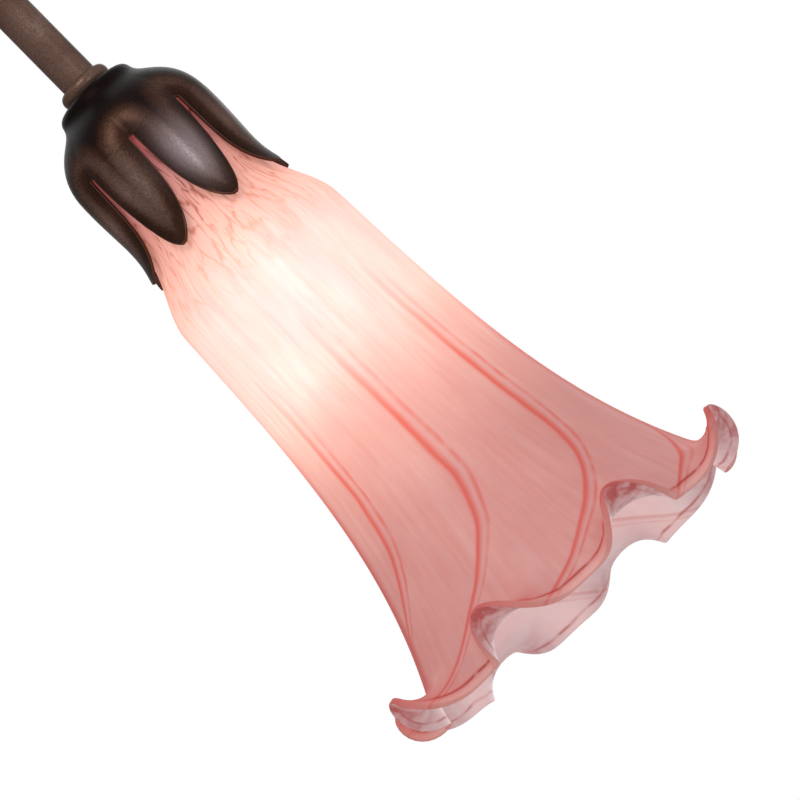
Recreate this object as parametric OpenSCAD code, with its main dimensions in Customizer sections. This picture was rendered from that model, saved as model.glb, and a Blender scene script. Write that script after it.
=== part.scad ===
// Single-light table lamp: a blown glass lily shade in a leafed metal holder, on a bent tube arm
// that rises from a round weighted base. Millimetres, +Z up, origin at the middle of the underside.

/* [Base] */
// Diameter of the base
base_d = 190; // [170:1:220]
// Thickness of the felt under the base
felt_t = 2.5; // [1.5:0.5:4]
// How far the felt stops inside the edge of the base
felt_inset = 1.2; // [0.8:0.1:2]
// Wall of the base cover
cover_wall = 2.4; // [1.8:0.1:3]
// Height of the upright rim above the table
rim_h = 14; // [13:0.5:18]
// Height of the flat ring that carries the switch
land_h = 27; // [25:0.5:34]
// Width of the slope between the rim and that flat ring
slope_w = 19; // [17:0.5:22]
// Inner radius of that flat ring
land_in_r = 44; // [38:1:46]
// Height of the top of the base
base_top = 52; // [46:1:70]
// Radius of the top of the base
boss_r = 12.5; // [11:0.5:15]
// How far the iron weight reaches under the slope
weight_reach = 2; // [0:0.5:2.5]
// Thickness of the iron weight
weight_t = 17; // [16:0.5:18]

/* [Cord inlet and switch] */
// Bore of the cord inlet
cord_hole_d = 6.6; // [5:0.2:7]
// Outer diameter of the inlet's neck
gland_d = 10; // [9.2:0.2:10.4]
// Diameter of the switch body
switch_d = 21; // [18:0.5:24]
// Diameter of the switch's threaded neck
switch_neck_d = 9.4; // [8:0.2:11]
// Diameter of the knob's shaft
shaft_d = 5; // [4:0.25:6]
// Diameter of the knob
knob_d = 17; // [14:0.5:22]
// Height of the knob
knob_h = 11; // [8:0.5:14]

/* [Arm] */
// Outer diameter of the tube
tube_d = 12.7; // [11.6:0.1:14]
// Wall of the tube
tube_wall = 1.4; // [1:0.1:1.6]
// Height at which the tube starts to bend
bend_start_h = 300; // [240:5:340]
// Radius of the bend, to the middle of the tube
bend_r = 110; // [90:1:130]
// How far below level the head points, in degrees
drop_angle = 45; // [35:1:55]
// Straight end of the tube above the holder
head_straight = 30; // [20:1:50]

/* [Holder] */
// Number of petals
petal_count = 8; // [6:1:10]
// Wall of the holder
leaf_wall = 1; // [0.8:0.1:1.2]
// Widest radius of the holder
cup_r = 27.7; // [27.2:0.1:29]
// Depth from the holder's top to the slits between the petals
slit_depth = 22.4; // [20:0.2:23]
// Width of the slits at their closed ends
slit_w = 1.3; // [0.8:0.1:2]
// Length of a petal below the slits
petal_len = 36; // [32:0.5:40]
// How far a petal's tip stands out from the holder's widest radius
tip_flare = 2.3; // [1:0.1:4]

/* [Shade] */
// Length of the shade
shade_len = 207; // [195:0.5:220]
// Wall of the glass
glass_wall = 3; // [2.4:0.1:3.4]
// Radius of the neck
neck_r = 24; // [23.4:0.1:24.2]
// Radius below the shoulder
shoulder_r = 33; // [31:0.5:36]
// Radius where the lip starts, before the crests are drawn out
mouth_r = 56.5; // [53:0.5:62]
// Number of crests round the mouth
crest_count = 8; // [6:1:9]
// How much further out the glass lies on a crest than between two, at the mouth
crest_depth = 1.5; // [0:0.5:6]
// How much longer the glass is on the upper side of the mouth, as a lean in degrees
mouth_lean = 1.5; // [0:0.5:5]
// How far a crest of the lip turns outwards, in degrees
lip_turn = 143; // [90:1:155]

/* [Socket and bulb] */
// Diameter of the socket's threaded skirt
skirt_d = 28; // [27:0.2:29]
// Length of the socket's skirt below the shade's neck
skirt_len = 20; // [18:0.5:22]
// Outer diameter of the ring that holds the shade
ring_d = 39; // [37:0.5:40]
// Height of that ring
ring_h = 6; // [4.5:0.5:8]
// Diameter of the bulb's screw cap
cap_d = 11.7; // [11.4:0.1:12]
// Diameter of the bulb
bulb_d = 35; // [30:0.5:38]
// Length of the bulb's glass outside its cap
bulb_len = 84; // [70:1:92]

/* [Hidden] */

// Clearances: round pieces that slide into each other, and pieces that turn in each other
fit_gap = 0.1;
turn_gap = 0.07;

// Threaded tube, the 1/8 inch lamp thread, and what screws on it
nipple_d = 9.7;
nipple_bore = 6.4;
nipple_reach = 12;
locknut_af = 14.3;
locknut_t = 2.6;
washer_r = 8.4;
washer_t = 0.9;
hole_r = nipple_d / 2 + fit_gap;

// Beaded ring at each end of the tube
bead_len = 4.7;
bead_out = 2.75;
bead_foot = 2.15;

// Wires
wire_r = 1.1;
wire_side = 1.3;
wire_bend = 3;

// Radii in the base, and the switch midway across the flat ring
land_out_r = base_d / 2 - slope_w;
weight_r = land_out_r + weight_reach;
switch_x = (land_in_r + land_out_r) / 2;

// Heights in the base, from the table up
weight_top = felt_t + weight_t;
nut_pocket_top = felt_t + 12;
nut_pocket_r = 10.5;
wire_z = felt_t + 3;
groove_h = 6.4;
base_nipple_low = nut_pocket_top - washer_t - locknut_t - 0.8;
tube_low = base_top + bead_len;
hub_r = 12;
rear_groove_w = 13;
front_groove_w = 10;
lead_y = -3.7;
crimp_r = 2.8;
crimp_len = 15;
crimp_y = 3.1;
crimp_x = weight_r - 7;
splice_x = crimp_x - crimp_len;
gland_z = felt_t + gland_d / 2 + 0.6;
gland_flange_r = gland_d / 2 + 2;
gland_flange_t = 2;
gland_in = 10.4;

// Switch, from its seat under the cover
switch_seat = land_h - cover_wall;
switch_len = 14;
switch_low = switch_seat - switch_len;
switch_pocket_r = switch_d / 2 + 2.5;
switch_nut_t = 2.4;
switch_nut_r = switch_neck_d / 2 + 3.6;
switch_neck_top = land_h + switch_nut_t + 1.4;
knob_low = switch_neck_top + 0.3;
shaft_low = switch_seat + 1.5;
switch_rise = switch_low - wire_z - wire_bend;
switch_wire_in = 3.5;
flute_count = 12;
flute_r = 1.6;

// Stations along the head's axis, from the end of the tube
cup_at = bead_len;
washer_at = cup_at + leaf_wall;
locknut_at = washer_at + washer_t;
cap_at = locknut_at + locknut_t;
socket_cap_r = 12.5;
socket_cap_top_t = 1.7;
socket_cap_wall = 1;
head_nipple_low = cap_at + socket_cap_top_t + 0.3;
terminal_y = 5.5;
terminal_head_r = 2.3;
terminal_head_t = 1.4;
terminal_shank_r = 1.2;
terminal_shank = 4;
splay_angle = 45;
splay_bend = 2.5;
splay_run = (terminal_y - wire_side - 2 * splay_bend * (1 - cos(splay_angle))) / sin(splay_angle);
splay_len = 2 * splay_bend * sin(splay_angle) + splay_run * cos(splay_angle);
socket_at = head_nipple_low + splay_len + terminal_head_t;
shade_at = socket_at + 1.6;
socket_lip_r = skirt_d / 2 + 3.4;
socket_lip_t = 2.2;
skirt_end = shade_at + skirt_len;
shell_wall = 0.5;
shell_r = cap_d / 2 + turn_gap;
socket_bore_r = shell_r + shell_wall + 0.04;
socket_floor = skirt_end - 17;
contact_t = 0.6;
contact_r = 4;
contact_button_r = 2.2;
contact_button_h = 1.1;
tip_at = socket_floor + contact_t + contact_button_h;
bulb_cap_at = tip_at + 1.9;
bulb_cap_end = skirt_end + 2.2;
cap_wall = 0.5;
bulb_wall = 0.8;
bulb_sink = 8;
bulb_neck_r = cap_d / 2 - cap_wall - 0.1;
stem_foot_r = bulb_neck_r - bulb_wall - 0.02;
stem_foot = 7;
stem_rod_r = 1.8;
stem_top = 23;
filament_h = bulb_len * 0.47;
filament_half = 7;
ring_bore_r = skirt_d / 2 + turn_gap;
notch_count = 8;
notch_r = 2.2;

// Angles round the head's axis: the middle of a petal, the root of a crest, how far the crests
// wander from even spacing and where they wander most, how far the tip of a crest swings past its
// root, and the side on which the mouth is shortest
petal_phase = 17;
crest_phase = 9;
crest_wander = 2.8;
wander_at = 245;
crest_swing = 3.6;
shortest_at = 21;

// Petal holder: steps across one petal, how much each petal is hollowed between its middle and its
// sides, and the narrowest half width at its tip
petal_cols = 6;
petal_dish = 0.0148;
tip_half = 0.7;

// Shade: stations and columns of the glass
crest_cols = 9;
glass_cols = crest_count * crest_cols;
glass_hole_r = skirt_d / 2 + 0.6;
neck_round = 3.6;
shoulder_from = 34;
shoulder_to = 62;
body_taper = 0.045;
flare_power = 3.3;
crest_from = 110;
crest_share = 0.4;
lip_valley = 14.8;
lip_crest = 18.3;
lip_from = shade_len - lip_valley;
lip_in = 17;
crest_power = 1.4;
shoulder_steps = 7;
flare_steps = 12;
lip_steps = 7;

$fn = 72;

// A smooth curve between two points, steered by two more
function curve(a, b, c, d, n, from = 1) = [
    for (i = [from : n]) let (t = i / n, s = 1 - t)
        a * s * s * s + b * 3 * s * s * t + c * 3 * s * t * t + d * t * t * t
];

// A step from 0 to 1 with level ends
function ease(t) = let (x = max(0, min(1, t))) x * x * (3 - 2 * x);

function sum(v, i = 0) = i < len(v) ? v[i] + sum(v, i + 1) : 0;

// Puts its children at the end of the arm, with +Z along the head's axis
module at_head() {
    translate([bend_r, 0, bend_start_h])
        rotate([0, 90 + drop_angle, 0])
            translate([-bend_r, 0, head_straight])
                children();
}

// Follows a run of [straight, bend angle, bend radius, roll] steps up +Z. A bend goes towards +X,
// or towards -X where its angle is negative, and the roll then turns the run about its own line.
module follow(run, i = 0) {
    if (i < len(run)) {
        straight = run[i][0];
        turn = run[i][1];
        centre = sign(turn) * run[i][2];
        if (straight > 0)
            linear_extrude(straight) children();
        translate([centre, 0, straight]) {
            if (turn != 0)
                mirror([turn > 0 ? 1 : 0, 0, 0])
                    rotate([90, 0, 0])
                        rotate_extrude(angle = abs(turn))
                            translate([run[i][2], 0])
                                children();
            rotate([0, turn, 0])
                translate([-centre, 0, 0])
                    rotate([0, 0, run[i][3]])
                        follow(run, i + 1) children();
        }
    }
}

module ring(outer, inner, height) {
    difference() {
        cylinder(r = outer, h = height);
        translate([0, 0, -1]) cylinder(r = inner, h = height + 2);
    }
}

module hex_nut(across, bore, height) {
    difference() {
        cylinder(r = across / 2 / cos(30), h = height, $fn = 6);
        translate([0, 0, -1]) cylinder(r = bore, h = height + 2);
    }
}

module beaded_ring() {
    foot = tube_d / 2 + bead_foot;
    belly = tube_d / 2 + bead_out;
    outline = concat(
        [[hole_r, 0], [tube_d / 2 + 0.4, 0]],
        curve([tube_d / 2 + 0.4, 0], [belly, 0], [belly + 0.2, bead_len * 0.55],
              [belly - 0.2, bead_len * 0.75], 8),
        [[foot, bead_len - 0.1], [foot - 0.2, bead_len], [hole_r, bead_len]]
    );
    rotate_extrude() polygon(outline);
}

module nipple(length) {
    difference() {
        cylinder(d = nipple_d, h = length);
        translate([0, 0, -1]) cylinder(d = nipple_bore, h = length + 2);
    }
}

module felt_pad() {
    color("darkolivegreen") cylinder(r = base_d / 2 - felt_inset, h = felt_t);
}

module base_weight() {
    color("dimgray") difference() {
        translate([0, 0, felt_t]) cylinder(r = weight_r, h = weight_t);
        cylinder(r = hole_r, h = weight_top + 1);
        cylinder(r = nut_pocket_r, h = nut_pocket_top);
        translate([switch_x, 0, 0]) cylinder(r = switch_pocket_r, h = weight_top + 1);
        translate([0, -front_groove_w / 2, felt_t - 1])
            cube([switch_x, front_groove_w, groove_h + 1]);
        translate([-weight_r - 1, -rear_groove_w / 2, felt_t - 1])
            cube([weight_r + 1, rear_groove_w, groove_h + 1]);
    }
}

module base_cover() {
    edge = base_d / 2;
    inner = edge - cover_wall;
    ceiling = land_h - cover_wall;
    hub_low = weight_top + fit_gap;
    round_off = 5;
    outside = concat(
        [[edge, felt_t], [edge, rim_h - round_off]],
        curve([edge, rim_h - round_off], [edge, rim_h - round_off * 0.45],
              [edge - round_off * 0.45, rim_h], [edge - round_off, rim_h], 6),
        curve([edge - round_off, rim_h], [edge - round_off - 9, rim_h],
              [land_out_r + 7, land_h], [land_out_r, land_h], 12),
        [[land_in_r, land_h]],
        curve([land_in_r, land_h], [land_in_r - 18, land_h],
              [boss_r + 6, land_h + 8], [boss_r + 1.6, base_top - 5], 14),
        curve([boss_r + 1.6, base_top - 5], [boss_r + 1.2, base_top - 2.6],
              [boss_r + 1, base_top], [boss_r - 1.5, base_top], 6)
    );
    under = concat(
        [[hole_r, base_top], [hole_r, hub_low], [hub_r - 2.4, hub_low], [hub_r - 2.4, ceiling + 6]],
        curve([hub_r - 2.4, ceiling + 6], [hub_r + 4, ceiling + 3],
              [land_in_r - 22, ceiling], [land_in_r - 8, ceiling], 8),
        [[land_out_r - 2, ceiling]],
        curve([land_out_r - 2, ceiling], [land_out_r + 3, ceiling],
              [inner - 12, rim_h - cover_wall], [inner - 3.4, rim_h - cover_wall], 10),
        [[inner, rim_h - cover_wall - 3], [inner, felt_t]]
    );
    color("#3a2723") difference() {
        rotate_extrude($fn = 120) polygon(concat(outside, under));
        translate([-edge - 1, 0, gland_z])
            rotate([0, 90, 0]) cylinder(d = gland_d + 2 * fit_gap, h = 20);
        translate([-edge - 10, -gland_flange_r - 0.3, gland_z - gland_flange_r - 0.3])
            cube([10.4, 2 * gland_flange_r + 0.6, 2 * gland_flange_r + 0.6]);
        translate([switch_x, 0, 0])
            cylinder(d = switch_neck_d + 2 * fit_gap, h = base_top);
    }
}

module base_nipple() {
    color("goldenrod") translate([0, 0, base_nipple_low])
        nipple(tube_low + nipple_reach - base_nipple_low);
}

module base_washer() {
    color("silver") translate([0, 0, nut_pocket_top - washer_t])
        ring(washer_r, hole_r, washer_t);
}

module base_locknut() {
    color("silver") translate([0, 0, nut_pocket_top - washer_t - locknut_t])
        hex_nut(locknut_af, hole_r, locknut_t);
}

module cord_gland() {
    flat = base_d / 2 - 0.4;
    color("#1b1917") difference() {
        union() {
            translate([-flat - gland_flange_t, 0, gland_z])
                rotate([0, 90, 0]) cylinder(r = gland_flange_r, h = gland_flange_t);
            translate([-flat - gland_flange_t, 0, gland_z])
                rotate([0, 90, 0]) cylinder(d = gland_d, h = gland_flange_t + gland_in);
        }
        translate([-flat - gland_flange_t - 1, 0, gland_z])
            rotate([0, 90, 0]) cylinder(d = cord_hole_d, h = gland_flange_t + gland_in + 2);
    }
}

module crimp_caps() {
    color("ivory") for (side = [-1, 1])
        translate([-crimp_x, side * crimp_y, wire_z])
            rotate([0, 90, 0]) cylinder(r = crimp_r, h = crimp_len);
}

module switch_body() {
    color("#1b1917") translate([switch_x, 0, 0]) difference() {
        union() {
            translate([0, 0, switch_low]) cylinder(d = switch_d, h = switch_len);
            translate([0, 0, switch_low]) cylinder(d = switch_neck_d, h = switch_neck_top - switch_low);
        }
        translate([0, 0, shaft_low - 0.2])
            cylinder(r = shaft_d / 2 + turn_gap, h = switch_neck_top);
    }
}

module switch_nut() {
    color("#5a4038") translate([switch_x, 0, land_h]) difference() {
        cylinder(r = switch_nut_r, h = switch_nut_t);
        translate([0, 0, -1]) cylinder(d = switch_neck_d + 2 * fit_gap, h = switch_nut_t + 2);
        for (a = [0 : 30 : 330])
            rotate([0, 0, a]) translate([switch_nut_r + 0.5, 0, -1])
                cylinder(r = 1, h = switch_nut_t + 2, $fn = 24);
    }
}

module switch_shaft() {
    color("goldenrod") translate([switch_x, 0, shaft_low])
        cylinder(d = shaft_d, h = knob_low + knob_h * 0.6 - shaft_low);
}

module switch_knob() {
    r = knob_d / 2;
    color("#3a2723") translate([switch_x, 0, knob_low]) difference() {
        rotate_extrude() polygon(concat(
            [[0, 0], [r - 0.8, 0], [r, 0.8], [r * 0.94, knob_h - 3]],
            curve([r * 0.94, knob_h - 3], [r * 0.9, knob_h - 0.8], [r * 0.7, knob_h - 0.2],
                  [0, knob_h], 8)
        ));
        translate([0, 0, -1]) cylinder(r = shaft_d / 2 + fit_gap, h = knob_h * 0.6 + 1);
        for (i = [0 : flute_count - 1])
            rotate([0, 0, i * 360 / flute_count]) translate([r + flute_r * 0.55, 0, -1])
                cylinder(r = flute_r, h = knob_h + 2, $fn = 24);
    }
}

// The wire that goes back from the switch to the splice by the cord inlet
module switch_lead() {
    start_x = switch_x - switch_wire_in;
    color("#2c2a29") translate([start_x, lead_y, switch_low]) rotate([0, 180, 0])
        follow([
            [switch_rise, 90, wire_bend, 0],
            [start_x - wire_bend + splice_x, 0, 0, 0]
        ]) circle(wire_r, $fn = 12);
}

module stem_ring() {
    color("#3a2723") translate([0, 0, base_top])
        translate([0, 0, bead_len]) mirror([0, 0, 1]) beaded_ring();
}

module arm_tube() {
    color("#3a2723") translate([0, 0, tube_low])
        follow([[bend_start_h - tube_low, 90 + drop_angle, bend_r, 180], [head_straight, 0, 0, 0]])
            difference() {
                circle(d = tube_d);
                circle(d = tube_d - 2 * tube_wall);
            }
}

// The pair of wires that run up the arm: one from the switch and one from a splice, each to its
// own screw on the back of the socket
module socket_leads() {
    up = bend_start_h - wire_z - wire_bend;
    function to_screw(side) = [
        [up, 90 + drop_angle, bend_r, 0],
        [head_straight + head_nipple_low, 0, 0, side * 90],
        [0, splay_angle, splay_bend, 0],
        [splay_run, -splay_angle, splay_bend, 0]
    ];
    color("#2c2a29") {
        translate([switch_x, -wire_side, switch_low]) rotate([0, 180, 0])
            follow(concat([
                [switch_rise, 90, wire_bend, 0],
                [switch_x - 2 * wire_bend, 90, wire_bend, 0]
            ], to_screw(-1))) circle(wire_r, $fn = 12);
        translate([-splice_x, wire_side, wire_z]) rotate([0, 90, 0])
            follow(concat([[splice_x - wire_bend, -90, wire_bend, 0]], to_screw(1))) circle(wire_r, $fn = 12);
    }
}

module head_ring() {
    color("#3a2723") at_head() beaded_ring();
}

module head_nipple() {
    color("goldenrod") at_head() translate([0, 0, -nipple_reach])
        nipple(nipple_reach + head_nipple_low);
}

// Outline of the holder through the middle of a petal, as [radius, distance from its top]
crown_r = 14.4;
crown_h = 3;
groove = [17.9, 7.4];
petal_end = slit_depth + petal_len;
cup_outline = concat(
    [[hole_r + fit_gap, 0], [washer_r + 0.6, 0]],
    curve([washer_r + 0.6, 0], [12, 0], [crown_r - 0.4, 0.5], [crown_r, crown_h], 4),
    curve([crown_r, crown_h], [crown_r + 0.4, 4.8], [groove[0] - 2, groove[1] - 1.6], groove, 3),
    curve(groove, [groove[0] + 3.6, groove[1] + 2.8], [cup_r - 1, slit_depth * 0.64],
          [cup_r, slit_depth], 6)
);
petal_outline = concat(
    curve([cup_r, slit_depth], [cup_r + 0.4, slit_depth + 7], [cup_r, slit_depth + 14],
          [cup_r - 0.4, slit_depth + 0.6 * petal_len], 5),
    curve([cup_r - 0.4, slit_depth + 0.6 * petal_len], [cup_r - 0.5, slit_depth + 0.75 * petal_len],
          [cup_r, slit_depth + 0.88 * petal_len], [cup_r + tip_flare, petal_end], 5)
);
holder_outline = concat(cup_outline, petal_outline);
cup_rows = len(cup_outline);
holder_rows = len(holder_outline);

// Half the width of a petal at a row of the outline, measured round the holder
function petal_half(j) =
    let (p = holder_outline[j], down = (p[1] - slit_depth) / petal_len)
    j < cup_rows ? PI * p[0] / petal_count - slit_w / 2
        : max(tip_half, (PI * cup_r / petal_count - slit_w / 2) * pow(max(0, 1 - pow(down, 2.2)), 0.8));

// Direction square to the outline at a row, pointing outwards
function outline_normal(j) =
    let (a = holder_outline[max(0, j - 1)], b = holder_outline[min(holder_rows - 1, j + 1)], d = b - a)
    [d[1], -d[0]] / norm(d);

// A point of the holder at row j, petal p and column k, on its outside or its inside
function holder_point(layer, j, p, k) =
    let (
        at = holder_outline[j],
        half = petal_half(j),
        side = half * (2 * k / petal_cols - 1),
        dish = petal_dish * side * side * ease((at[1] - groove[1]) / (slit_depth - groove[1])),
        n = outline_normal(j),
        r = at[0] - dish - layer * leaf_wall * n[0],
        h = at[1] - layer * leaf_wall * n[1],
        a = petal_phase + p * 360 / petal_count + side / at[0] * 180 / PI
    )
    [r * cos(a), r * sin(a), h];

module petal_holder() {
    cols = petal_cols + 1;
    function id(layer, j, p, k) = ((layer * holder_rows + j) * petal_count + p % petal_count) * cols + k;
    function two(a, b, c, d) = [[a, b, c], [a, c, d]];
    points = [
        for (layer = [0, 1], j = [0 : holder_rows - 1], p = [0 : petal_count - 1], k = [0 : petal_cols])
            holder_point(layer, j, p, k)
    ];
    leaf = [
        for (j = [0 : holder_rows - 2], p = [0 : petal_count - 1], k = [0 : petal_cols - 1]) each concat(
            two(id(0, j, p, k), id(0, j + 1, p, k), id(0, j + 1, p, k + 1), id(0, j, p, k + 1)),
            two(id(1, j, p, k), id(1, j, p, k + 1), id(1, j + 1, p, k + 1), id(1, j + 1, p, k)))
    ];
    between = [
        for (j = [0 : cup_rows - 2], p = [0 : petal_count - 1]) each concat(
            two(id(0, j, p, petal_cols), id(0, j + 1, p, petal_cols),
                id(0, j + 1, p + 1, 0), id(0, j, p + 1, 0)),
            two(id(1, j, p, petal_cols), id(1, j, p + 1, 0),
                id(1, j + 1, p + 1, 0), id(1, j + 1, p, petal_cols)))
    ];
    hole = [
        for (p = [0 : petal_count - 1]) each concat(
            [for (k = [0 : petal_cols - 1]) each
                two(id(0, 0, p, k), id(0, 0, p, k + 1), id(1, 0, p, k + 1), id(1, 0, p, k))],
            two(id(0, 0, p, petal_cols), id(0, 0, p + 1, 0), id(1, 0, p + 1, 0), id(1, 0, p, petal_cols)))
    ];
    slit_ends = [
        for (p = [0 : petal_count - 1], j = cup_rows - 1) each
            two(id(0, j, p, petal_cols), id(1, j, p, petal_cols), id(1, j, p + 1, 0), id(0, j, p + 1, 0))
    ];
    edges = [
        for (j = [cup_rows - 1 : holder_rows - 2], p = [0 : petal_count - 1]) each concat(
            two(id(0, j, p, 0), id(1, j, p, 0), id(1, j + 1, p, 0), id(0, j + 1, p, 0)),
            two(id(0, j, p, petal_cols), id(0, j + 1, p, petal_cols),
                id(1, j + 1, p, petal_cols), id(1, j, p, petal_cols)))
    ];
    tips = [
        for (j = holder_rows - 1, p = [0 : petal_count - 1], k = [0 : petal_cols - 1]) each
            two(id(0, j, p, k), id(1, j, p, k), id(1, j, p, k + 1), id(0, j, p, k + 1))
    ];
    color("#3a2723") at_head() translate([0, 0, cup_at])
        polyhedron(points, concat(leaf, between, hole, slit_ends, edges, tips));
}

module holder_washer() {
    color("silver") at_head() translate([0, 0, washer_at]) ring(washer_r, hole_r, washer_t);
}

module holder_locknut() {
    color("silver") at_head() translate([0, 0, locknut_at]) hex_nut(locknut_af, hole_r, locknut_t);
}

module socket_cap() {
    depth = socket_at - cap_at;
    color("silver") at_head() translate([0, 0, cap_at]) difference() {
        cylinder(r = socket_cap_r, h = depth);
        translate([0, 0, -1]) cylinder(r = hole_r, h = depth);
        translate([0, 0, socket_cap_top_t])
            cylinder(r = socket_cap_r - socket_cap_wall, h = depth);
    }
}

module socket_body() {
    color("#241a16") at_head() difference() {
        union() {
            translate([0, 0, socket_at]) cylinder(d = skirt_d, h = skirt_end - socket_at);
            translate([0, 0, shade_at - socket_lip_t])
                ring(socket_lip_r, socket_cap_r + fit_gap, socket_lip_t);
        }
        translate([0, 0, socket_floor])
            cylinder(r = socket_bore_r, h = skirt_len);
        for (side = [-1, 1])
            translate([0, side * terminal_y, socket_at - 1])
                cylinder(r = terminal_shank_r + 0.05, h = terminal_shank + 1.2, $fn = 24);
    }
}

module terminal_screws() {
    color("goldenrod") at_head() for (side = [-1, 1])
        translate([0, side * terminal_y, socket_at]) difference() {
            union() {
                translate([0, 0, -terminal_head_t]) cylinder(r = terminal_head_r, h = terminal_head_t);
                cylinder(r = terminal_shank_r, h = terminal_shank, $fn = 24);
            }
            translate([-terminal_head_r, wire_r + 0.2, -terminal_head_t - 0.1])
                cube([2 * terminal_head_r, 0.5, 0.7]);
        }
}

module centre_contact() {
    color("goldenrod") at_head() translate([0, 0, socket_floor]) {
        cylinder(r = contact_r, h = contact_t);
        cylinder(r = contact_button_r, h = contact_t + contact_button_h);
    }
}

module screw_shell() {
    color("goldenrod") at_head() translate([0, 0, socket_floor + contact_t + 1.2])
        ring(shell_r + shell_wall, shell_r, skirt_end - socket_floor - contact_t - 1.5);
}

// How much of a crest lies at angle a: 1 on a crest and 0 halfway between two
function lobe(a) =
    (1 + cos(crest_count * (a - crest_phase - crest_wander * cos(a - wander_at)))) / 2;

// How far the glass is drawn out at distance z below its top: 0 at crest_from and 1 at the lip
function drawn(z) = max(0, min(z, lip_from) - crest_from) / (lip_from - crest_from);

// Outer radius of the glass at distance z below its top, before the lip
function glass_r(z, a) =
    let (
        t = max(0, z - shoulder_to),
        full = lip_from - shoulder_to,
        flare = mouth_r - shoulder_r - body_taper * full
    )
    neck_r + (shoulder_r - neck_r) * ease((z - shoulder_from) / (shoulder_to - shoulder_from))
    + body_taper * t + flare * pow(t / full, flare_power)
    + crest_depth * pow(drawn(z), 2) * (lobe(a) - 1 + crest_share);

// Direction of the glass at a point of the body, as an angle off the axis
function body_angle(z, a) = atan2(glass_r(z + 0.4, a) - glass_r(z - 0.4, a), 0.8);

body_rows = concat(
    [shoulder_from * 0.4],
    [for (i = [0 : shoulder_steps]) shoulder_from + (shoulder_to - shoulder_from) * i / shoulder_steps],
    [for (i = [1 : flare_steps]) shoulder_to + (lip_from - shoulder_to) * pow(i / flare_steps, 0.72)]
);

// The lip beyond the body, as [distance, radius, angle, swing] rows: it curls out on the crests
function lip_rows(a) =
    let (
        c = pow(lobe(a), crest_power),
        length = lip_valley + (lip_crest - lip_valley) * c,
        start = body_angle(lip_from - 0.5, a),
        turn = lip_turn * c - lip_in * (1 - c),
        step = length / lip_steps
    )
    [
        for (i = [1 : lip_steps]) [
            lip_from + step * sum([for (k = [1 : i]) cos(start + turn * (k - 0.5) / lip_steps)]),
            glass_r(lip_from, a) + step * sum([for (k = [1 : i]) sin(start + turn * (k - 0.5) / lip_steps)]),
            start + turn * i / lip_steps,
            crest_swing * c * (0.4 + 0.6 * i / lip_steps)
        ]
    ];

// All rows of the outside of the glass at angle a
function glass_rows(a) = concat(
    [
        [0, glass_hole_r, 90, 0],
        [0, neck_r - neck_round, 90, 0],
        [0.25 * neck_round, neck_r - 0.3 * neck_round, 55, 0],
        [0.95 * neck_round, neck_r - 0.03 * neck_round, 12, 0]
    ],
    [
        for (z = body_rows) [
            z, glass_r(z, a), body_angle(min(z, lip_from - 0.5), a),
            0.4 * crest_swing * pow(lobe(a), crest_power) * pow(drawn(z), 2)
        ]
    ],
    lip_rows(a)
);

// How far the lean moves a point down the axis. x is its distance towards the shortest side.
function lean(z, x) = -x * tan(mouth_lean) * ease((z - shoulder_to) / (lip_from - shoulder_to));

// The closed section of the glass at angle a: down its outside and back up its inside
function glass_section(a) =
    let (rows = glass_rows(a), n = len(rows))
    concat(
        [for (row = rows) [row[1], row[0], row[3]]],
        [for (i = [n - 1 : -1 : 0]) let (row = rows[i], thin = i > n - 3 ? 0.8 : 1)
            [row[1] - (i == 0 ? 0 : glass_wall * thin * cos(row[2])),
             row[0] + glass_wall * thin * sin(row[2]),
             row[3]]]
    );

module glass_shade() {
    sections = [for (c = [0 : glass_cols - 1]) glass_section(c * 360 / glass_cols)];
    rows = len(sections[0]);
    points = [
        for (c = [0 : glass_cols - 1], p = sections[c])
            let (a = c * 360 / glass_cols + p[2])
            [p[0] * cos(a), p[0] * sin(a), p[1] + lean(p[1], p[0] * cos(a - shortest_at))]
    ];
    faces = [
        for (c = [0 : glass_cols - 1], i = [0 : rows - 1])
            let (d = (c + 1) % glass_cols, j = (i + 1) % rows,
                 p = c * rows + i, q = c * rows + j, s = d * rows + j, t = d * rows + i)
            each [[p, q, s], [p, s, t]]
    ];
    color("#e0a09a", 0.8) at_head() translate([0, 0, shade_at]) polyhedron(points, faces);
}

module shade_ring() {
    color("#241a16") at_head() translate([0, 0, shade_at + glass_wall]) difference() {
        ring(ring_d / 2, ring_bore_r, ring_h);
        for (i = [0 : notch_count - 1])
            rotate([0, 0, i * 360 / notch_count]) translate([ring_d / 2 + 0.8, 0, 1.5])
                cylinder(r = notch_r, h = ring_h, $fn = 24);
    }
}

module bulb_cap() {
    color("silver") at_head() translate([0, 0, bulb_cap_at]) difference() {
        cylinder(d = cap_d, h = bulb_cap_end - bulb_cap_at);
        translate([0, 0, -1]) cylinder(r = cap_d / 2 - cap_wall, h = bulb_cap_end);
    }
}

module bulb_tip() {
    r = cap_d / 2 - cap_wall - 0.02;
    rise = bulb_cap_at - tip_at;
    color("#1b1917") at_head() translate([0, 0, tip_at]) rotate_extrude() polygon([
        [0, 0], [2, 0], [2.3, 0.5], [r - 0.6, rise], [r, rise], [r, rise + 1.5], [0, rise + 1.5]
    ]);
}

// Outline of the bulb's glass, as [radius, distance from the end of its cap], shrunk by inset
function bulb_outline(inset) =
    let (neck = bulb_neck_r - inset, r = bulb_d / 2 - inset, tall = bulb_len - inset)
    concat(
        [[neck, -bulb_sink], [neck, 0.6]],
        curve([neck, 0.6], [neck + 0.6, 5], [r, 20], [r, filament_h], 12),
        curve([r, filament_h], [r, bulb_len * 0.72], [r * 0.5, tall], [0, tall], 14)
    );

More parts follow.
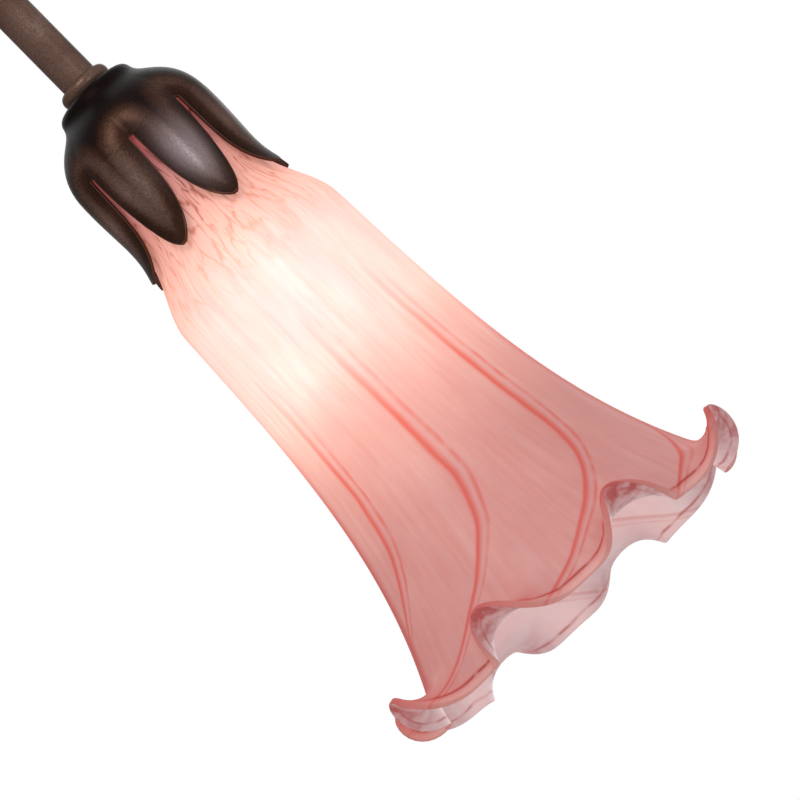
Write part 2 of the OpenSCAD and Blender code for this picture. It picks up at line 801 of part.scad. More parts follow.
module bulb_glass() {
    low = -bulb_sink - 1;
    color("white", 0.8) at_head() translate([0, 0, bulb_cap_end]) rotate_extrude() difference() {
        polygon(concat([[0, -bulb_sink]], bulb_outline(0)));
        polygon(concat([[0, low], [bulb_neck_r - bulb_wall, low]], bulb_outline(bulb_wall)));
    }
}

module bulb_stem() {
    color("white", 0.8) at_head() translate([0, 0, bulb_cap_end]) rotate_extrude() polygon(concat(
        [[0, -stem_foot], [stem_foot_r, -stem_foot], [stem_foot_r, 1.2 - stem_foot]],
        curve([stem_foot_r, 1.2 - stem_foot], [2.6, 3 - stem_foot], [stem_rod_r, 1],
              [stem_rod_r, stem_top], 6),
        [[0, stem_top]]
    ));
}

// The filament across two wires that stand on the top of the stem and lean outwards
module bulb_filament() {
    foot_y = 1.2;
    foot_h = stem_top - 3;
    lean = atan((filament_half - foot_y) / (filament_h - stem_top));
    color("gray") at_head() translate([0, 0, bulb_cap_end]) {
        difference() {
            for (side = [-1, 1])
                translate([0, side * foot_y, stem_top]) rotate([side * -lean, 0, 0])
                    translate([0, 0, -1])
                        cylinder(r = 0.3, h = (filament_h - stem_top) / cos(lean) + 1, $fn = 16);
            translate([-2, -3, foot_h]) cube([4, 6, stem_top - foot_h]);
        }
        translate([0, -filament_half - 0.4, filament_h])
            rotate([-90, 0, 0]) cylinder(r = 0.45, h = 2 * filament_half + 0.8, $fn = 16);
    }
}

felt_pad();
base_weight();
base_cover();
base_nipple();
base_washer();
base_locknut();
cord_gland();
crimp_caps();
switch_body();
switch_nut();
switch_shaft();
switch_knob();
switch_lead();
stem_ring();
arm_tube();
socket_leads();
head_ring();
head_nipple();
petal_holder();
holder_washer();
holder_locknut();
socket_cap();
socket_body();
terminal_screws();
centre_contact();
screw_shell();
glass_shade();
shade_ring();
bulb_cap();
bulb_tip();
bulb_stem();
bulb_filament();
bulb_glass();
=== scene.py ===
import math

import bmesh
import bpy
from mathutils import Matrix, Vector


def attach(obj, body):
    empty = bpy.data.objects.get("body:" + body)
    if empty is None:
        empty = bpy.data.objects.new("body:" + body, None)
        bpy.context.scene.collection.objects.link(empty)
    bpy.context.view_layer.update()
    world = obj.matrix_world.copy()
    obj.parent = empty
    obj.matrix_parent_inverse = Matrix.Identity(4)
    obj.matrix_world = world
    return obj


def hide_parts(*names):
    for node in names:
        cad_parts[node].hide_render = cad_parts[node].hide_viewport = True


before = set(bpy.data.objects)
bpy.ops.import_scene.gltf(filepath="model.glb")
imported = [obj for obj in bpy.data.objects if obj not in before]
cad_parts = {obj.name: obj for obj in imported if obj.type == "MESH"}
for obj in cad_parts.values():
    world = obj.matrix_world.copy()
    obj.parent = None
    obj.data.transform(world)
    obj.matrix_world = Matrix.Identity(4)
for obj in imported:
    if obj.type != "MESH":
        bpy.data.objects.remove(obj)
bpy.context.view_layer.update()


# Camera: level with the shade and turned a little to the front of the side view, far enough
# away to be flat, so that the frame takes in 248 mm of the head of the lamp.
def look(place, target):
    return (Vector(target) - Vector(place)).to_track_quat("-Z", "Y")


shade_middle = Vector((0.3104, 0.0, 0.2571))
view_turn = math.radians(10)
view_distance = 2.6
camera = bpy.data.objects.new("camera", bpy.data.cameras.new("camera"))
bpy.context.scene.collection.objects.link(camera)
camera.data.lens = 377.4
camera.data.sensor_width = 36
camera.data.clip_start = 0.02
from_shade = Vector((math.sin(view_turn), -math.cos(view_turn), 0))
camera.location = shade_middle + view_distance * from_shade
camera.rotation_mode = "QUATERNION"
camera.rotation_quaternion = look(camera.location, shade_middle)
bpy.context.scene.camera = camera
bpy.context.scene.view_settings.view_transform = "Standard"


# Studio: a white room, three soft lamps and a pale floor that keeps the lamp's shadow and fades
# into the room. Rays that reach the camera, a gloss or a clear glass see the room as plain white.
def linear(code):
    parts = [int(code[i:i + 2], 16) / 255 for i in (0, 2, 4)]
    return [v / 12.92 if v <= 0.04045 else ((v + 0.055) / 1.055) ** 2.4 for v in parts] + [1.0]


def put(tree, kind, inputs=None, stops=(), **settings):
    """A node with these settings, stops of its ramp, and values or links in its sockets."""
    node = tree.nodes.new(kind)
    for name, value in settings.items():
        setattr(node, name, value)
    if stops:
        points = node.color_ramp.elements
        while len(points) < len(stops):
            points.new(1.0)
        for point, (place, code) in zip(points, stops):
            point.position, point.color = place, linear(code)
    for key, value in (inputs or {}).items():
        socket = node.inputs[key]
        if isinstance(value, bpy.types.Node):
            value = value.outputs[0]
        if isinstance(value, bpy.types.NodeSocket):
            tree.links.new(value, socket)
        else:
            socket.default_value = value
    return node


def empty_tree(owner):
    owner.use_nodes = True
    owner.node_tree.nodes.clear()
    return owner.node_tree


def blank(name):
    """A new material without nodes, and its tree."""
    finish = bpy.data.materials.new(name)
    return finish, empty_tree(finish)


def surface(tree, height, strength, distance, values):
    """Ends a material with a bump of this height, the shader with these values, and the output."""
    bump = put(tree, "ShaderNodeBump", {
        "Height": height, "Strength": strength, "Distance": distance})
    shader = put(tree, "ShaderNodeBsdfPrincipled", dict(values, Normal=bump))
    put(tree, "ShaderNodeOutputMaterial", {"Surface": shader})


room = bpy.data.worlds.new("white room")
bpy.context.scene.world = room
tree = empty_tree(room)
path = put(tree, "ShaderNodeLightPath")
seen = put(tree, "ShaderNodeMath", {
    0: path.outputs["Is Camera Ray"], 1: path.outputs["Is Glossy Ray"]}, operation="MAXIMUM")
seen = put(tree, "ShaderNodeMath", {
    0: seen, 1: path.outputs["Is Transmission Ray"]}, operation="MAXIMUM")
plain = put(tree, "ShaderNodeBackground", {"Color": linear("FFFFFF"), "Strength": 1.0})
fill = put(tree, "ShaderNodeBackground", {"Color": linear("F7F9FF"), "Strength": 0.40})
mixed = put(tree, "ShaderNodeMixShader", {0: seen, 1: fill, 2: plain})
put(tree, "ShaderNodeOutputWorld", {"Surface": mixed})

for name, place, aim, size, power in (
        ("key lamp", (-0.55, -1.25, 1.25), (0.2, 0.0, 0.25), 0.9, 9.5),
        ("side lamp", (0.85, -1.07, 0.97), (0.22, 0.0, 0.3), 0.3, 1.5),
        ("back lamp", (0.1, 1.5, 1.0), (0.2, 0.0, 0.2), 1.0, 1.6)):
    lamp = bpy.data.objects.new(name, bpy.data.lights.new(name, "AREA"))
    lamp.data.shape = "DISK"
    lamp.data.size = size
    lamp.data.energy = power
    lamp.location = place
    lamp.rotation_mode = "QUATERNION"
    lamp.rotation_quaternion = look(place, aim)
    bpy.context.scene.collection.objects.link(lamp)

mesh = bpy.data.meshes.new("floor")
form = bmesh.new()
bmesh.ops.create_circle(form, cap_ends=True, segments=96, radius=3.0)
form.to_mesh(mesh)
form.free()
floor = bpy.data.objects.new("floor", mesh)
bpy.context.scene.collection.objects.link(floor)
paper, tree = blank("pale floor")
spot = put(tree, "ShaderNodeTexCoord")
reach = put(tree, "ShaderNodeVectorMath", {0: spot.outputs["Object"]}, operation="LENGTH")
far = put(tree, "ShaderNodeMapRange", {
    "Value": reach.outputs["Value"], "From Min": 0.7, "From Max": 2.4})
path = put(tree, "ShaderNodeLightPath")
fade = put(tree, "ShaderNodeMath", {0: far, 1: path.outputs["Is Camera Ray"]}, operation="MULTIPLY")
matt = put(tree, "ShaderNodeBsdfPrincipled", {"Base Color": linear("F4F2F0"), "Roughness": 0.9})
white = put(tree, "ShaderNodeEmission", {"Color": linear("FFFFFF"), "Strength": 1.0})
mixed = put(tree, "ShaderNodeMixShader", {0: fade, 1: matt, 2: white})
put(tree, "ShaderNodeOutputMaterial", {"Surface": mixed})
mesh.materials.append(paper)


# Shade: one blown lily of glass, 3 mm thick, hung by its neck in the holder. It was drawn out to
# eight crests while soft, and each crest was curled back by hand, so no two are quite alike.
# Lengths are in millimetres down the axis from the top of the glass, angles round it in degrees.
head_end = Vector((0.208995, 0.0, 0.356569))
head_turn = math.radians(135)
head_axis = Vector((math.sin(head_turn), 0.0, math.cos(head_turn)))
glass_top = 20.47


def reckon(tree, known, rows):
    """Adds the sums in rows, each 'name = OPERATION value value value', and gives their results.

    A value is a number or a name in known, and a row that ends in clamped stays between 0 and 1.
    """
    known = dict(known)
    for row in rows.strip().splitlines():
        name, _, kind, *values = row.split()
        clamped = values[-1] == "clamped"
        node = put(tree, "ShaderNodeMath", operation=kind, use_clamp=clamped)
        for socket, value in zip(node.inputs, values[:len(values) - clamped]):
            value = known.get(value, value)
            if isinstance(value, bpy.types.NodeSocket):
                tree.links.new(value, socket)
            else:
                socket.default_value = float(value)
        known[name] = node.outputs[0]
    return known


def sized_tree(name, sizes):
    """A geometry tree with a named input for each size, and those inputs by name."""
    tree = bpy.data.node_groups.new(name, "GeometryNodeTree")
    tree.interface.new_socket("Geometry", in_out="INPUT", socket_type="NodeSocketGeometry")
    tree.interface.new_socket("Geometry", in_out="OUTPUT", socket_type="NodeSocketGeometry")
    for size in sizes:
        tree.interface.new_socket(size, in_out="INPUT", socket_type="NodeSocketFloat")
    start = put(tree, "NodeGroupInput")
    return tree, {socket.name: socket for socket in start.outputs if socket.name}


def grown(name, tree, sizes, start=None, merge=2e-6):
    """The plain mesh object that a geometry tree makes with these sizes, its doubles merged."""
    seed = bpy.data.objects.new(name + " seed", start or bpy.data.meshes.new(name + " seed"))
    bpy.context.scene.collection.objects.link(seed)
    grow = seed.modifiers.new("grow", "NODES")
    grow.node_group = tree
    for item in tree.interface.items_tree:
        if item.in_out == "INPUT" and item.name in sizes:
            grow[item.identifier] = float(sizes[item.name])
    graph = bpy.context.evaluated_depsgraph_get()
    mesh = bpy.data.meshes.new_from_object(seed.evaluated_get(graph), depsgraph=graph)
    bpy.data.objects.remove(seed)
    form = bmesh.new()
    form.from_mesh(mesh)
    bmesh.ops.remove_doubles(form, verts=form.verts, dist=merge)
    for face in form.faces:
        face.smooth = True
    form.to_mesh(mesh)
    form.free()
    mesh.name = name
    piece = bpy.data.objects.new(name, mesh)
    bpy.context.scene.collection.objects.link(piece)
    return piece


def face_outwards(piece):
    """Turns the faces of an open skin away from the axis of the head, going by its largest face."""
    form = bmesh.new()
    form.from_mesh(piece.data)
    largest = max(form.faces, key=lambda face: face.calc_area())
    from_axis = largest.calc_center_median() - head_end
    from_axis -= head_axis * from_axis.dot(head_axis)
    if largest.normal.dot(from_axis) < 0:
        bmesh.ops.reverse_faces(form, faces=form.faces)
    form.to_mesh(piece.data)
    form.free()


def to_head(tree, geometry, drop):
    """Lays geometry made in millimetres down +Z along the head's axis, from drop below its end."""
    return put(tree, "GeometryNodeTransform", {
        "Geometry": geometry,
        "Translation": head_end + head_axis * drop / 1000,
        "Rotation": (0.0, head_turn, 0.0),
        "Scale": (0.001, 0.001, 0.001),
    })


shade_sizes = {
    "hole_r": 14.6, "neck_r": 24, "neck_round": 3.6, "shoulder_from": 34, "shoulder_to": 62,
    "shoulder_r": 33, "taper": 0.045, "mouth_r": 56.5, "flare_power": 3.3, "lip_from": 192.2,
    "crest_count": 8, "crest_phase": 9, "crest_wander": 2.8, "wander_at": 245, "crest_swing": 3.6,
    "crest_from": 110, "crest_depth": 1.5, "crest_share": 0.4, "crest_power": 1.4,
    "lip_valley": 14.8, "lip_crest": 18.3, "lip_turn": 143, "lip_in": 17,
    "mouth_lean": 1.5, "shortest_at": 21,
}
tree, size = sized_tree("lily shade", shade_sizes)
grid = put(tree, "GeometryNodeMeshGrid", {
    "Size X": 1.0, "Size Y": 1.0, "Vertices X": 289, "Vertices Y": 104})
place = put(tree, "ShaderNodeSeparateXYZ", {0: put(tree, "GeometryNodeInputPosition")})
# Of the rows down the glass, the first twentieth is the flat of the neck and the second its edge.
stations = {
    "full_turn": 6.2831853, "quarter_turn": 1.5707963, "body_at": 0.1, "body_run": 0.74,
    "lip_at": 0.84, "lip_run": 0.16,
}
known = dict(size, x=place.outputs["X"], y=place.outputs["Y"], **stations)
known = reckon(tree, known, """
    turn = ADD x 0.5
    angle = MULTIPLY turn full_turn
    run = ADD y 0.5
    flat = MULTIPLY run 20
    on_flat = MINIMUM flat 1
    round = SUBTRACT flat 1 clamped
    round = MULTIPLY round quarter_turn
    body = SUBTRACT run body_at
    body = DIVIDE body body_run clamped
    lip = SUBTRACT run lip_at
    lip = DIVIDE lip lip_run
    lip = MAXIMUM lip 0
""")
# The crests wander a little from even spacing, as the glass was pulled by hand.
known = reckon(tree, known, """
    drift = RADIANS wander_at
    drift = SUBTRACT angle drift
    drift = COSINE drift
    drift = MULTIPLY_ADD drift crest_wander crest_phase
    drift = RADIANS drift
    wave = SUBTRACT angle drift
    wave = MULTIPLY wave crest_count
    wave = COSINE wave
    lobe = MULTIPLY_ADD wave 0.5 0.5
    crest = POWER lobe crest_power
""")
# The body: a flat neck with a rounded edge, a shoulder, a slow taper and the flare of the mouth.
known = reckon(tree, known, """
    dip = COSINE round
    dip = SUBTRACT 1 dip
    length = SUBTRACT lip_from neck_round
    z = MULTIPLY length body
    z = MULTIPLY_ADD dip neck_round z
    rise = SUBTRACT z shoulder_from
    rise_full = SUBTRACT shoulder_to shoulder_from
    rise = DIVIDE rise rise_full clamped
    soft = MULTIPLY_ADD rise -2 3
    soft = MULTIPLY soft rise
    soft = MULTIPLY soft rise
    shoulder = SUBTRACT shoulder_r neck_r
    shoulder = MULTIPLY shoulder soft
    t = SUBTRACT z shoulder_to
    t = MAXIMUM t 0
    full = SUBTRACT lip_from shoulder_to
    part = DIVIDE t full
    cone = MULTIPLY taper full
    flare = SUBTRACT mouth_r shoulder_r
    flare = SUBTRACT flare cone
    bell = POWER part flare_power
    bell = MULTIPLY bell flare
    drawn_full = SUBTRACT lip_from crest_from
    drawn = SUBTRACT z crest_from
    drawn = DIVIDE drawn drawn_full
    drawn = MAXIMUM drawn 0
    drawn_2 = MULTIPLY drawn drawn
    lift = SUBTRACT lobe 1
    lift = ADD lift crest_share
    ridge = MULTIPLY crest_depth lift
    edge_in = SUBTRACT neck_r neck_round
    edge_in = SUBTRACT edge_in hole_r
    r = MULTIPLY_ADD edge_in on_flat hole_r
    arc = SINE round
    r = MULTIPLY_ADD arc neck_round r
    r = ADD r shoulder
    r = MULTIPLY_ADD t taper r
    r = ADD r bell
    r = MULTIPLY_ADD ridge drawn_2 r
""")
# The lip leaves the body along its slope, curls out on the crests and turns in between them.
known = reckon(tree, known, """
    slope = DIVIDE flare full
    slope = MULTIPLY slope flare_power
    slope = ADD slope taper
    pull = DIVIDE 2 drawn_full
    pull = MULTIPLY pull ridge
    slope = ADD slope pull
    lean = ARCTANGENT slope
    longer = SUBTRACT lip_crest lip_valley
    reach = MULTIPLY_ADD longer crest lip_valley
    bend = ADD lip_turn lip_in
    bend = MULTIPLY bend crest
    bend = SUBTRACT bend lip_in
    bend = RADIANS bend
    half = MULTIPLY bend lip
    half = MULTIPLY half 0.5
    small = ABSOLUTE half
    small = ADD small 0.001
    chord = SINE small
    chord = DIVIDE chord small
    chord = MULTIPLY chord reach
    chord = MULTIPLY chord lip
    lean = ADD lean half
    out = SINE lean
    down = COSINE lean
    r = MULTIPLY_ADD out chord r
    z = MULTIPLY_ADD down chord z
    left = SUBTRACT 1 lip
    left = MULTIPLY left reach
    back = SUBTRACT 1 body
    from_rim = MULTIPLY_ADD length back left
    tip = MULTIPLY lip 0.6
    tip = MULTIPLY_ADD drawn_2 0.4 tip
    swing = MULTIPLY tip crest_swing
    swing = MULTIPLY swing crest
    swing = RADIANS swing
    swung = ADD angle swing
    swung_c = COSINE swung
    swung_s = SINE swung
    x_out = MULTIPLY r swung_c
    y_out = MULTIPLY r swung_s
    part_2 = SUBTRACT z shoulder_to
    part_2 = DIVIDE part_2 full clamped
    soft_2 = MULTIPLY_ADD part_2 -2 3
    soft_2 = MULTIPLY soft_2 part_2
    soft_2 = MULTIPLY soft_2 part_2
    to_short = RADIANS shortest_at
    to_short = SUBTRACT swung to_short
    to_short = COSINE to_short
    to_short = MULTIPLY to_short r
    tilt = RADIANS mouth_lean
    tilt = TANGENT tilt
    tilt = MULTIPLY tilt soft_2
    tilt = MULTIPLY tilt to_short
    z_out = SUBTRACT z tilt
    crest_here = MULTIPLY crest drawn_2
""")
spot = put(tree, "ShaderNodeCombineXYZ", {0: known["x_out"], 1: known["y_out"], 2: known["z_out"]})
shape = put(tree, "GeometryNodeStoreNamedAttribute", {
    "Geometry": grid, "Name": "from_rim", "Value": known["from_rim"]}, data_type="FLOAT",
    domain="POINT")
shape = put(tree, "GeometryNodeStoreNamedAttribute", {
    "Geometry": shape, "Name": "crest", "Value": known["crest_here"]}, data_type="FLOAT",
    domain="POINT")
shape = put(tree, "GeometryNodeSetPosition", {"Geometry": shape, "Position": spot})
shape = to_head(tree, shape, glass_top)
shape = put(tree, "GeometryNodeRealizeInstances", {"Geometry": shape})
outer_glass = bpy.data.materials.new("blown glass, coral over opal")
shape = put(tree, "GeometryNodeSetMaterial", {"Geometry": shape, "Material": outer_glass})
put(tree, "NodeGroupOutput", {"Geometry": shape})
shade = grown("shade", tree, shade_sizes)
face_outwards(shade)

# The mesh is an open skin, so it is given its wall, which thins down the lip, and a rounded rim.
lip_share = 0.72
lip_thins_over = 14
thin = shade.vertex_groups.new(name="wall")
from_rim = shade.data.attributes["from_rim"].data
for vert in shade.data.vertices:
    inwards = min(1.0, from_rim[vert.index].value / lip_thins_over)
    thin.add([vert.index], lip_share + (1 - lip_share) * inwards, "REPLACE")
wall = shade.modifiers.new("wall", "SOLIDIFY")
wall.thickness = 0.003
wall.vertex_group = "wall"
wall.offset = -1
wall.material_offset = 1
wall.material_offset_rim = 0
rim = shade.modifiers.new("rounded rim", "BEVEL")
rim.width = 0.0011
rim.segments = 3
rim.limit_method = "ANGLE"
rim.angle_limit = math.radians(60)


# Patterns of the glass, worked out on the axis of the head: coral threads laid in pairs down the
# body, which swing round as the mouth was spun open, a net of brown flecks pulled long at the
# shoulder, fine streaks from the drawing, and coral that gathered in the folds of the rim.
head_place = bpy.data.node_groups.new("place on the head", "ShaderNodeTree")
head_place.interface.new_socket("place", in_out="OUTPUT", socket_type="NodeSocketVector")
spot = put(head_place, "ShaderNodeTexCoord")
spot = put(head_place, "ShaderNodeMapping", {
    "Vector": spot.outputs["Object"], "Location": (399.92, 0.0, 104.35),
    "Rotation": (0.0, -head_turn, 0.0),
    "Scale": (1000.0, 1000.0, 1000.0)}, vector_type="POINT")
put(head_place, "NodeGroupOutput", {"place": spot})

pattern = bpy.data.node_groups.new("glass pattern", "ShaderNodeTree")
marks_made = ("along", "thread", "core", "fleck", "fine", "streak", "cloud", "line", "fold",
              "mottle", "bead")
for name in marks_made:
    pattern.interface.new_socket(name, in_out="OUTPUT", socket_type="NodeSocketFloat")
spot = put(pattern, "ShaderNodeGroup", node_tree=head_place)
axes = put(pattern, "ShaderNodeSeparateXYZ", {0: spot})
# Sizes of the marks: the threads and where they start and swing, the net of flecks, the fine
# streaks, and the line, the bead and the folds along the rim.
mark_sizes = {
    "thread_step": 0.7853982, "thread_at": 39.4, "thread_from": 104, "thread_fade": 46,
    "half_gap": 2.1, "wide": 1.7, "wide_less": -0.85, "slim": 1.05, "slim_less": -0.45,
    "swing_from": 172.5, "sooner_above": 8, "swing_rate": 0.018, "sway_most": 0.12, "wobble": 0.9,
    "net_line": 0.075, "fleck_to": 96, "fleck_fade": 36, "fine_to": 135, "fine_fade": 35,
    "line_at": 2.9, "line_width": 0.5, "line_wobble": 2, "bead_from": 2.5, "bead_fade": 1.5,
    "fold_reach": -13, "core_half": 2.6, "even_r": 30,
}
rim_here = put(pattern, "ShaderNodeAttribute", attribute_name="from_rim")
crest_here = put(pattern, "ShaderNodeAttribute", attribute_name="crest")
known = reckon(pattern, dict(
    mark_sizes, from_rim=rim_here.outputs["Fac"], crest=crest_here.outputs["Fac"],
    **dict(zip("xyz", axes.outputs))), """
    along = DIVIDE z 250
    phi = ARCTAN2 y x
    xx = MULTIPLY x x
    rr = MULTIPLY_ADD y y xx
    r = SQRT rr
    unit = DIVIDE even_r r
    ux = MULTIPLY x unit
    uy = MULTIPLY y unit
""")
# The round place has one size all the way down, so that streaks and flecks widen with the glass.
around = put(pattern, "ShaderNodeCombineXYZ", {0: known["ux"], 1: known["uy"], 2: known["z"]})
slow = put(pattern, "ShaderNodeTexNoise", {"Vector": spot, "Scale": 0.03, "Detail": 1.0})
quick = put(pattern, "ShaderNodeTexNoise", {"Vector": spot, "Scale": 0.09, "Detail": 1.0})
gaps = put(pattern, "ShaderNodeTexNoise", {"Vector": spot, "Scale": 0.17, "Detail": 1.5})
known = reckon(pattern, dict(
    known, slow=slow.outputs[0], quick=quick.outputs[0], gaps=gaps.outputs[0]), """
    past = DIVIDE x r
    past = MULTIPLY_ADD past sooner_above z
    past = SUBTRACT past swing_from
    past = MAXIMUM past 0
    past = MULTIPLY past past
    swing = MULTIPLY past swing_rate
    swing = ADD swing thread_at
    swing = RADIANS swing
    sway = SUBTRACT slow 0.5
    sway = MULTIPLY sway sway_most
    swing = ADD swing sway
    turn = SUBTRACT phi swing
    turn = DIVIDE turn thread_step
    near = ROUND turn
    off = SUBTRACT turn near
    off = MULTIPLY off thread_step
    off = MULTIPLY off r
    rough = SUBTRACT quick 0.5
    off = MULTIPLY_ADD rough wobble off
    one = SUBTRACT off half_gap
    outer = GREATER_THAN one 0
    width = MULTIPLY_ADD outer wide_less wide
    one = DIVIDE one width
    one = MULTIPLY one one
    one = MULTIPLY one -1
    one = EXPONENT one
    two = ADD off half_gap
    outer = LESS_THAN two 0
    width = MULTIPLY_ADD outer slim_less slim
    two = DIVIDE two width
    two = MULTIPLY two two
    two = MULTIPLY two -1
    two = EXPONENT two
    break = SUBTRACT gaps 0.18
    break = MULTIPLY break 1.7
    break = MAXIMUM break 0.3
    break = MINIMUM break 0.75
    two = MULTIPLY two break
    thread = MAXIMUM one two
    start = SUBTRACT z thread_from
    start = DIVIDE start thread_fade clamped
    thread = MULTIPLY thread start
    core = ABSOLUTE off
    core = DIVIDE core core_half
    core = SUBTRACT 1 core
    core = MAXIMUM core 0
    core = MULTIPLY core start
    line = SUBTRACT from_rim line_at
    shift = SUBTRACT quick 0.5
    line = MULTIPLY_ADD shift line_wobble line
    line = DIVIDE line line_width
    line = MULTIPLY line line
    line = MULTIPLY line -1
    line = EXPONENT line
    gap = SUBTRACT gaps 0.3
    gap = MULTIPLY gap 5
    gap = MAXIMUM gap 0.4
    gap = MINIMUM gap 1
    line = MULTIPLY line gap
    bead = SUBTRACT bead_from from_rim
    bead = DIVIDE bead bead_fade clamped
    fold = DIVIDE from_rim fold_reach
    fold = ADD fold 1.1 clamped
    fold = MULTIPLY fold crest
""")
# Streaks about 1.5 mm apart and 30 mm long, flecks of a net 4 mm wide and 20 mm long, and folds
# mottled in spots of 4 mm.
drawn = put(pattern, "ShaderNodeMapping", {
    "Vector": around, "Scale": (0.62, 0.62, 0.035)}, vector_type="POINT")
streak = put(pattern, "ShaderNodeTexNoise", {
    "Vector": drawn, "Scale": 1.0, "Detail": 3.0, "Roughness": 0.6})
thin = put(pattern, "ShaderNodeMapping", {
    "Vector": around, "Scale": (0.85, 0.85, 0.024)}, vector_type="POINT")
fine = put(pattern, "ShaderNodeTexNoise", {
    "Vector": thin, "Scale": 1.0, "Detail": 2.0, "Roughness": 0.5})
pulled = put(pattern, "ShaderNodeMapping", {
    "Vector": around, "Scale": (0.29, 0.29, 0.07)}, vector_type="POINT")
bent = put(pattern, "ShaderNodeTexNoise", {"Vector": pulled, "Scale": 1.1, "Detail": 2.0})
bent = put(pattern, "ShaderNodeVectorMath", {0: bent.outputs["Color"], 1: pulled}, operation="ADD")
net = put(pattern, "ShaderNodeTexVoronoi", {
    "Vector": bent, "Scale": 1.0}, feature="DISTANCE_TO_EDGE")
patches = put(pattern, "ShaderNodeTexNoise", {"Vector": pulled, "Scale": 1.6, "Detail": 2.0})
cloudy = put(pattern, "ShaderNodeMapping", {
    "Vector": around, "Scale": (0.075, 0.075, 0.03)}, vector_type="POINT")
cloud = put(pattern, "ShaderNodeTexNoise", {
    "Vector": cloudy, "Scale": 1.0, "Detail": 3.0, "Roughness": 0.55})
mottle = put(pattern, "ShaderNodeTexNoise", {
    "Vector": spot, "Scale": 0.26, "Detail": 2.0, "Roughness": 0.5})
known = reckon(pattern, dict(
    known, net=net.outputs["Distance"], patches=patches.outputs[0], streaks=streak.outputs[0],
    fines=fine.outputs[0], clouds=cloud.outputs[0], mottles=mottle.outputs[0]), """
    fleck = DIVIDE net net_line
    fleck = MULTIPLY fleck fleck
    fleck = MULTIPLY fleck -1
    fleck = EXPONENT fleck
    some = SUBTRACT patches 0.36
    some = MULTIPLY some 5 clamped
    fleck = MULTIPLY fleck some
    fade = SUBTRACT fleck_to z
    fade = DIVIDE fade fleck_fade clamped
    fleck = MULTIPLY fleck fade
    fine = SUBTRACT fines 0.52
    fine = MULTIPLY fine 6 clamped
    below = SUBTRACT fine_to z
    below = DIVIDE below fine_fade clamped
    fine = MULTIPLY fine below
    streak = SUBTRACT streaks 0.5
    streak = MULTIPLY_ADD streak 1.6 0.5
    cloud = SUBTRACT clouds 0.5
    cloud = MULTIPLY_ADD cloud 2 0.5 clamped
    mottle = SUBTRACT mottles 0.38
    mottle = MULTIPLY mottle 4.2 clamped
""")
put(pattern, "NodeGroupOutput", {name: known[name] for name in marks_made})


def tinted(tree, colour_with_painted_light, painted_glow, layers):
    """The glass's colour with its painted light, and its painted glow, under layers of tint: a
    share, its most, and a colour.
    """
    tint = linear("FFFFFF")
    for share, most, colour in layers:
        share = put(tree, "ShaderNodeMath", {
            0: share, 1: most}, operation="MULTIPLY", use_clamp=True)
        colour = linear(colour) if isinstance(colour, str) else colour
        tint = put(tree, "ShaderNodeMix", {
            0: share, 6: tint, 7: colour}, data_type="RGBA").outputs[2]
    return [put(tree, "ShaderNodeMix", {0: 1.0, 6: under, 7: tint}, data_type="RGBA",
                blend_type="MULTIPLY").outputs[2] for under in (colour_with_painted_light, painted_glow)]


# The outside: satin from the acid bath, so the light on it is broad and soft. Over an opal lining
# the coral reads salmon pink and deep where the glass is seen edge on. The bulb's light through
# the glass is painted: the colour ramp goes cream where the bulb stands behind it and darker up
# among the petals, and the glass glows with painted emission, strongest round the bulb. Each
# layer of the tint is a mark of the pattern, its share and its colour.
tree = empty_tree(outer_glass)
marks = put(tree, "ShaderNodeGroup", node_tree=pattern)
colour_with_painted_light = put(tree, "ShaderNodeValToRGB", {0: marks.outputs["along"]}, stops=(
    (0.09, "A8504E"), (0.13, "B87474"), (0.18, "CC989A"), (0.25, "E8BEB0"), (0.36, "EED8CE"),
    (0.46, "F0D5CA"), (0.54, "ECC9BC"), (0.62, "DDB1A6"), (0.72, "D2A59E"), (0.80, "D0A29C"),
    (0.88, "D2A5A0")))
painted_glow = put(tree, "ShaderNodeValToRGB", {0: marks.outputs["along"]}, stops=(
    (0.09, "8A3C3C"), (0.15, "7E5050"), (0.22, "B6887A"), (0.29, "D6B8AA"), (0.36, "E0D6D0"),
    (0.44, "E2D6CE"), (0.49, "E6D2C6"), (0.54, "D2AA9C"), (0.60, "BC887C"), (0.70, "966660"),
    (0.88, "805652")))
# Painted light: where the glass is seen edge on in its upper half, round the bulb, it is painted
# paler cream, as if lit through.
turned_away = put(tree, "ShaderNodeLayerWeight", {"Blend": 0.35}).outputs["Facing"]
upper = put(tree, "ShaderNodeMapRange", {
    "Value": marks.outputs["along"], "From Min": 0.5, "From Max": 0.6, "To Min": 0.5,
    "To Max": 0.0})
paler = put(tree, "ShaderNodeMath", {0: turned_away, 1: upper}, operation="MULTIPLY")
edge_on = put(tree, "ShaderNodeMapRange", {
    "Value": turned_away, "From Min": 0.54, "From Max": 0.84}, interpolation_type="SMOOTHSTEP")
lower = put(tree, "ShaderNodeMapRange", {
    "Value": marks.outputs["along"], "From Min": 0.5, "From Max": 0.62, "To Min": 0.3})
edge_on = put(tree, "ShaderNodeMath", {0: edge_on, 1: lower}, operation="MULTIPLY")
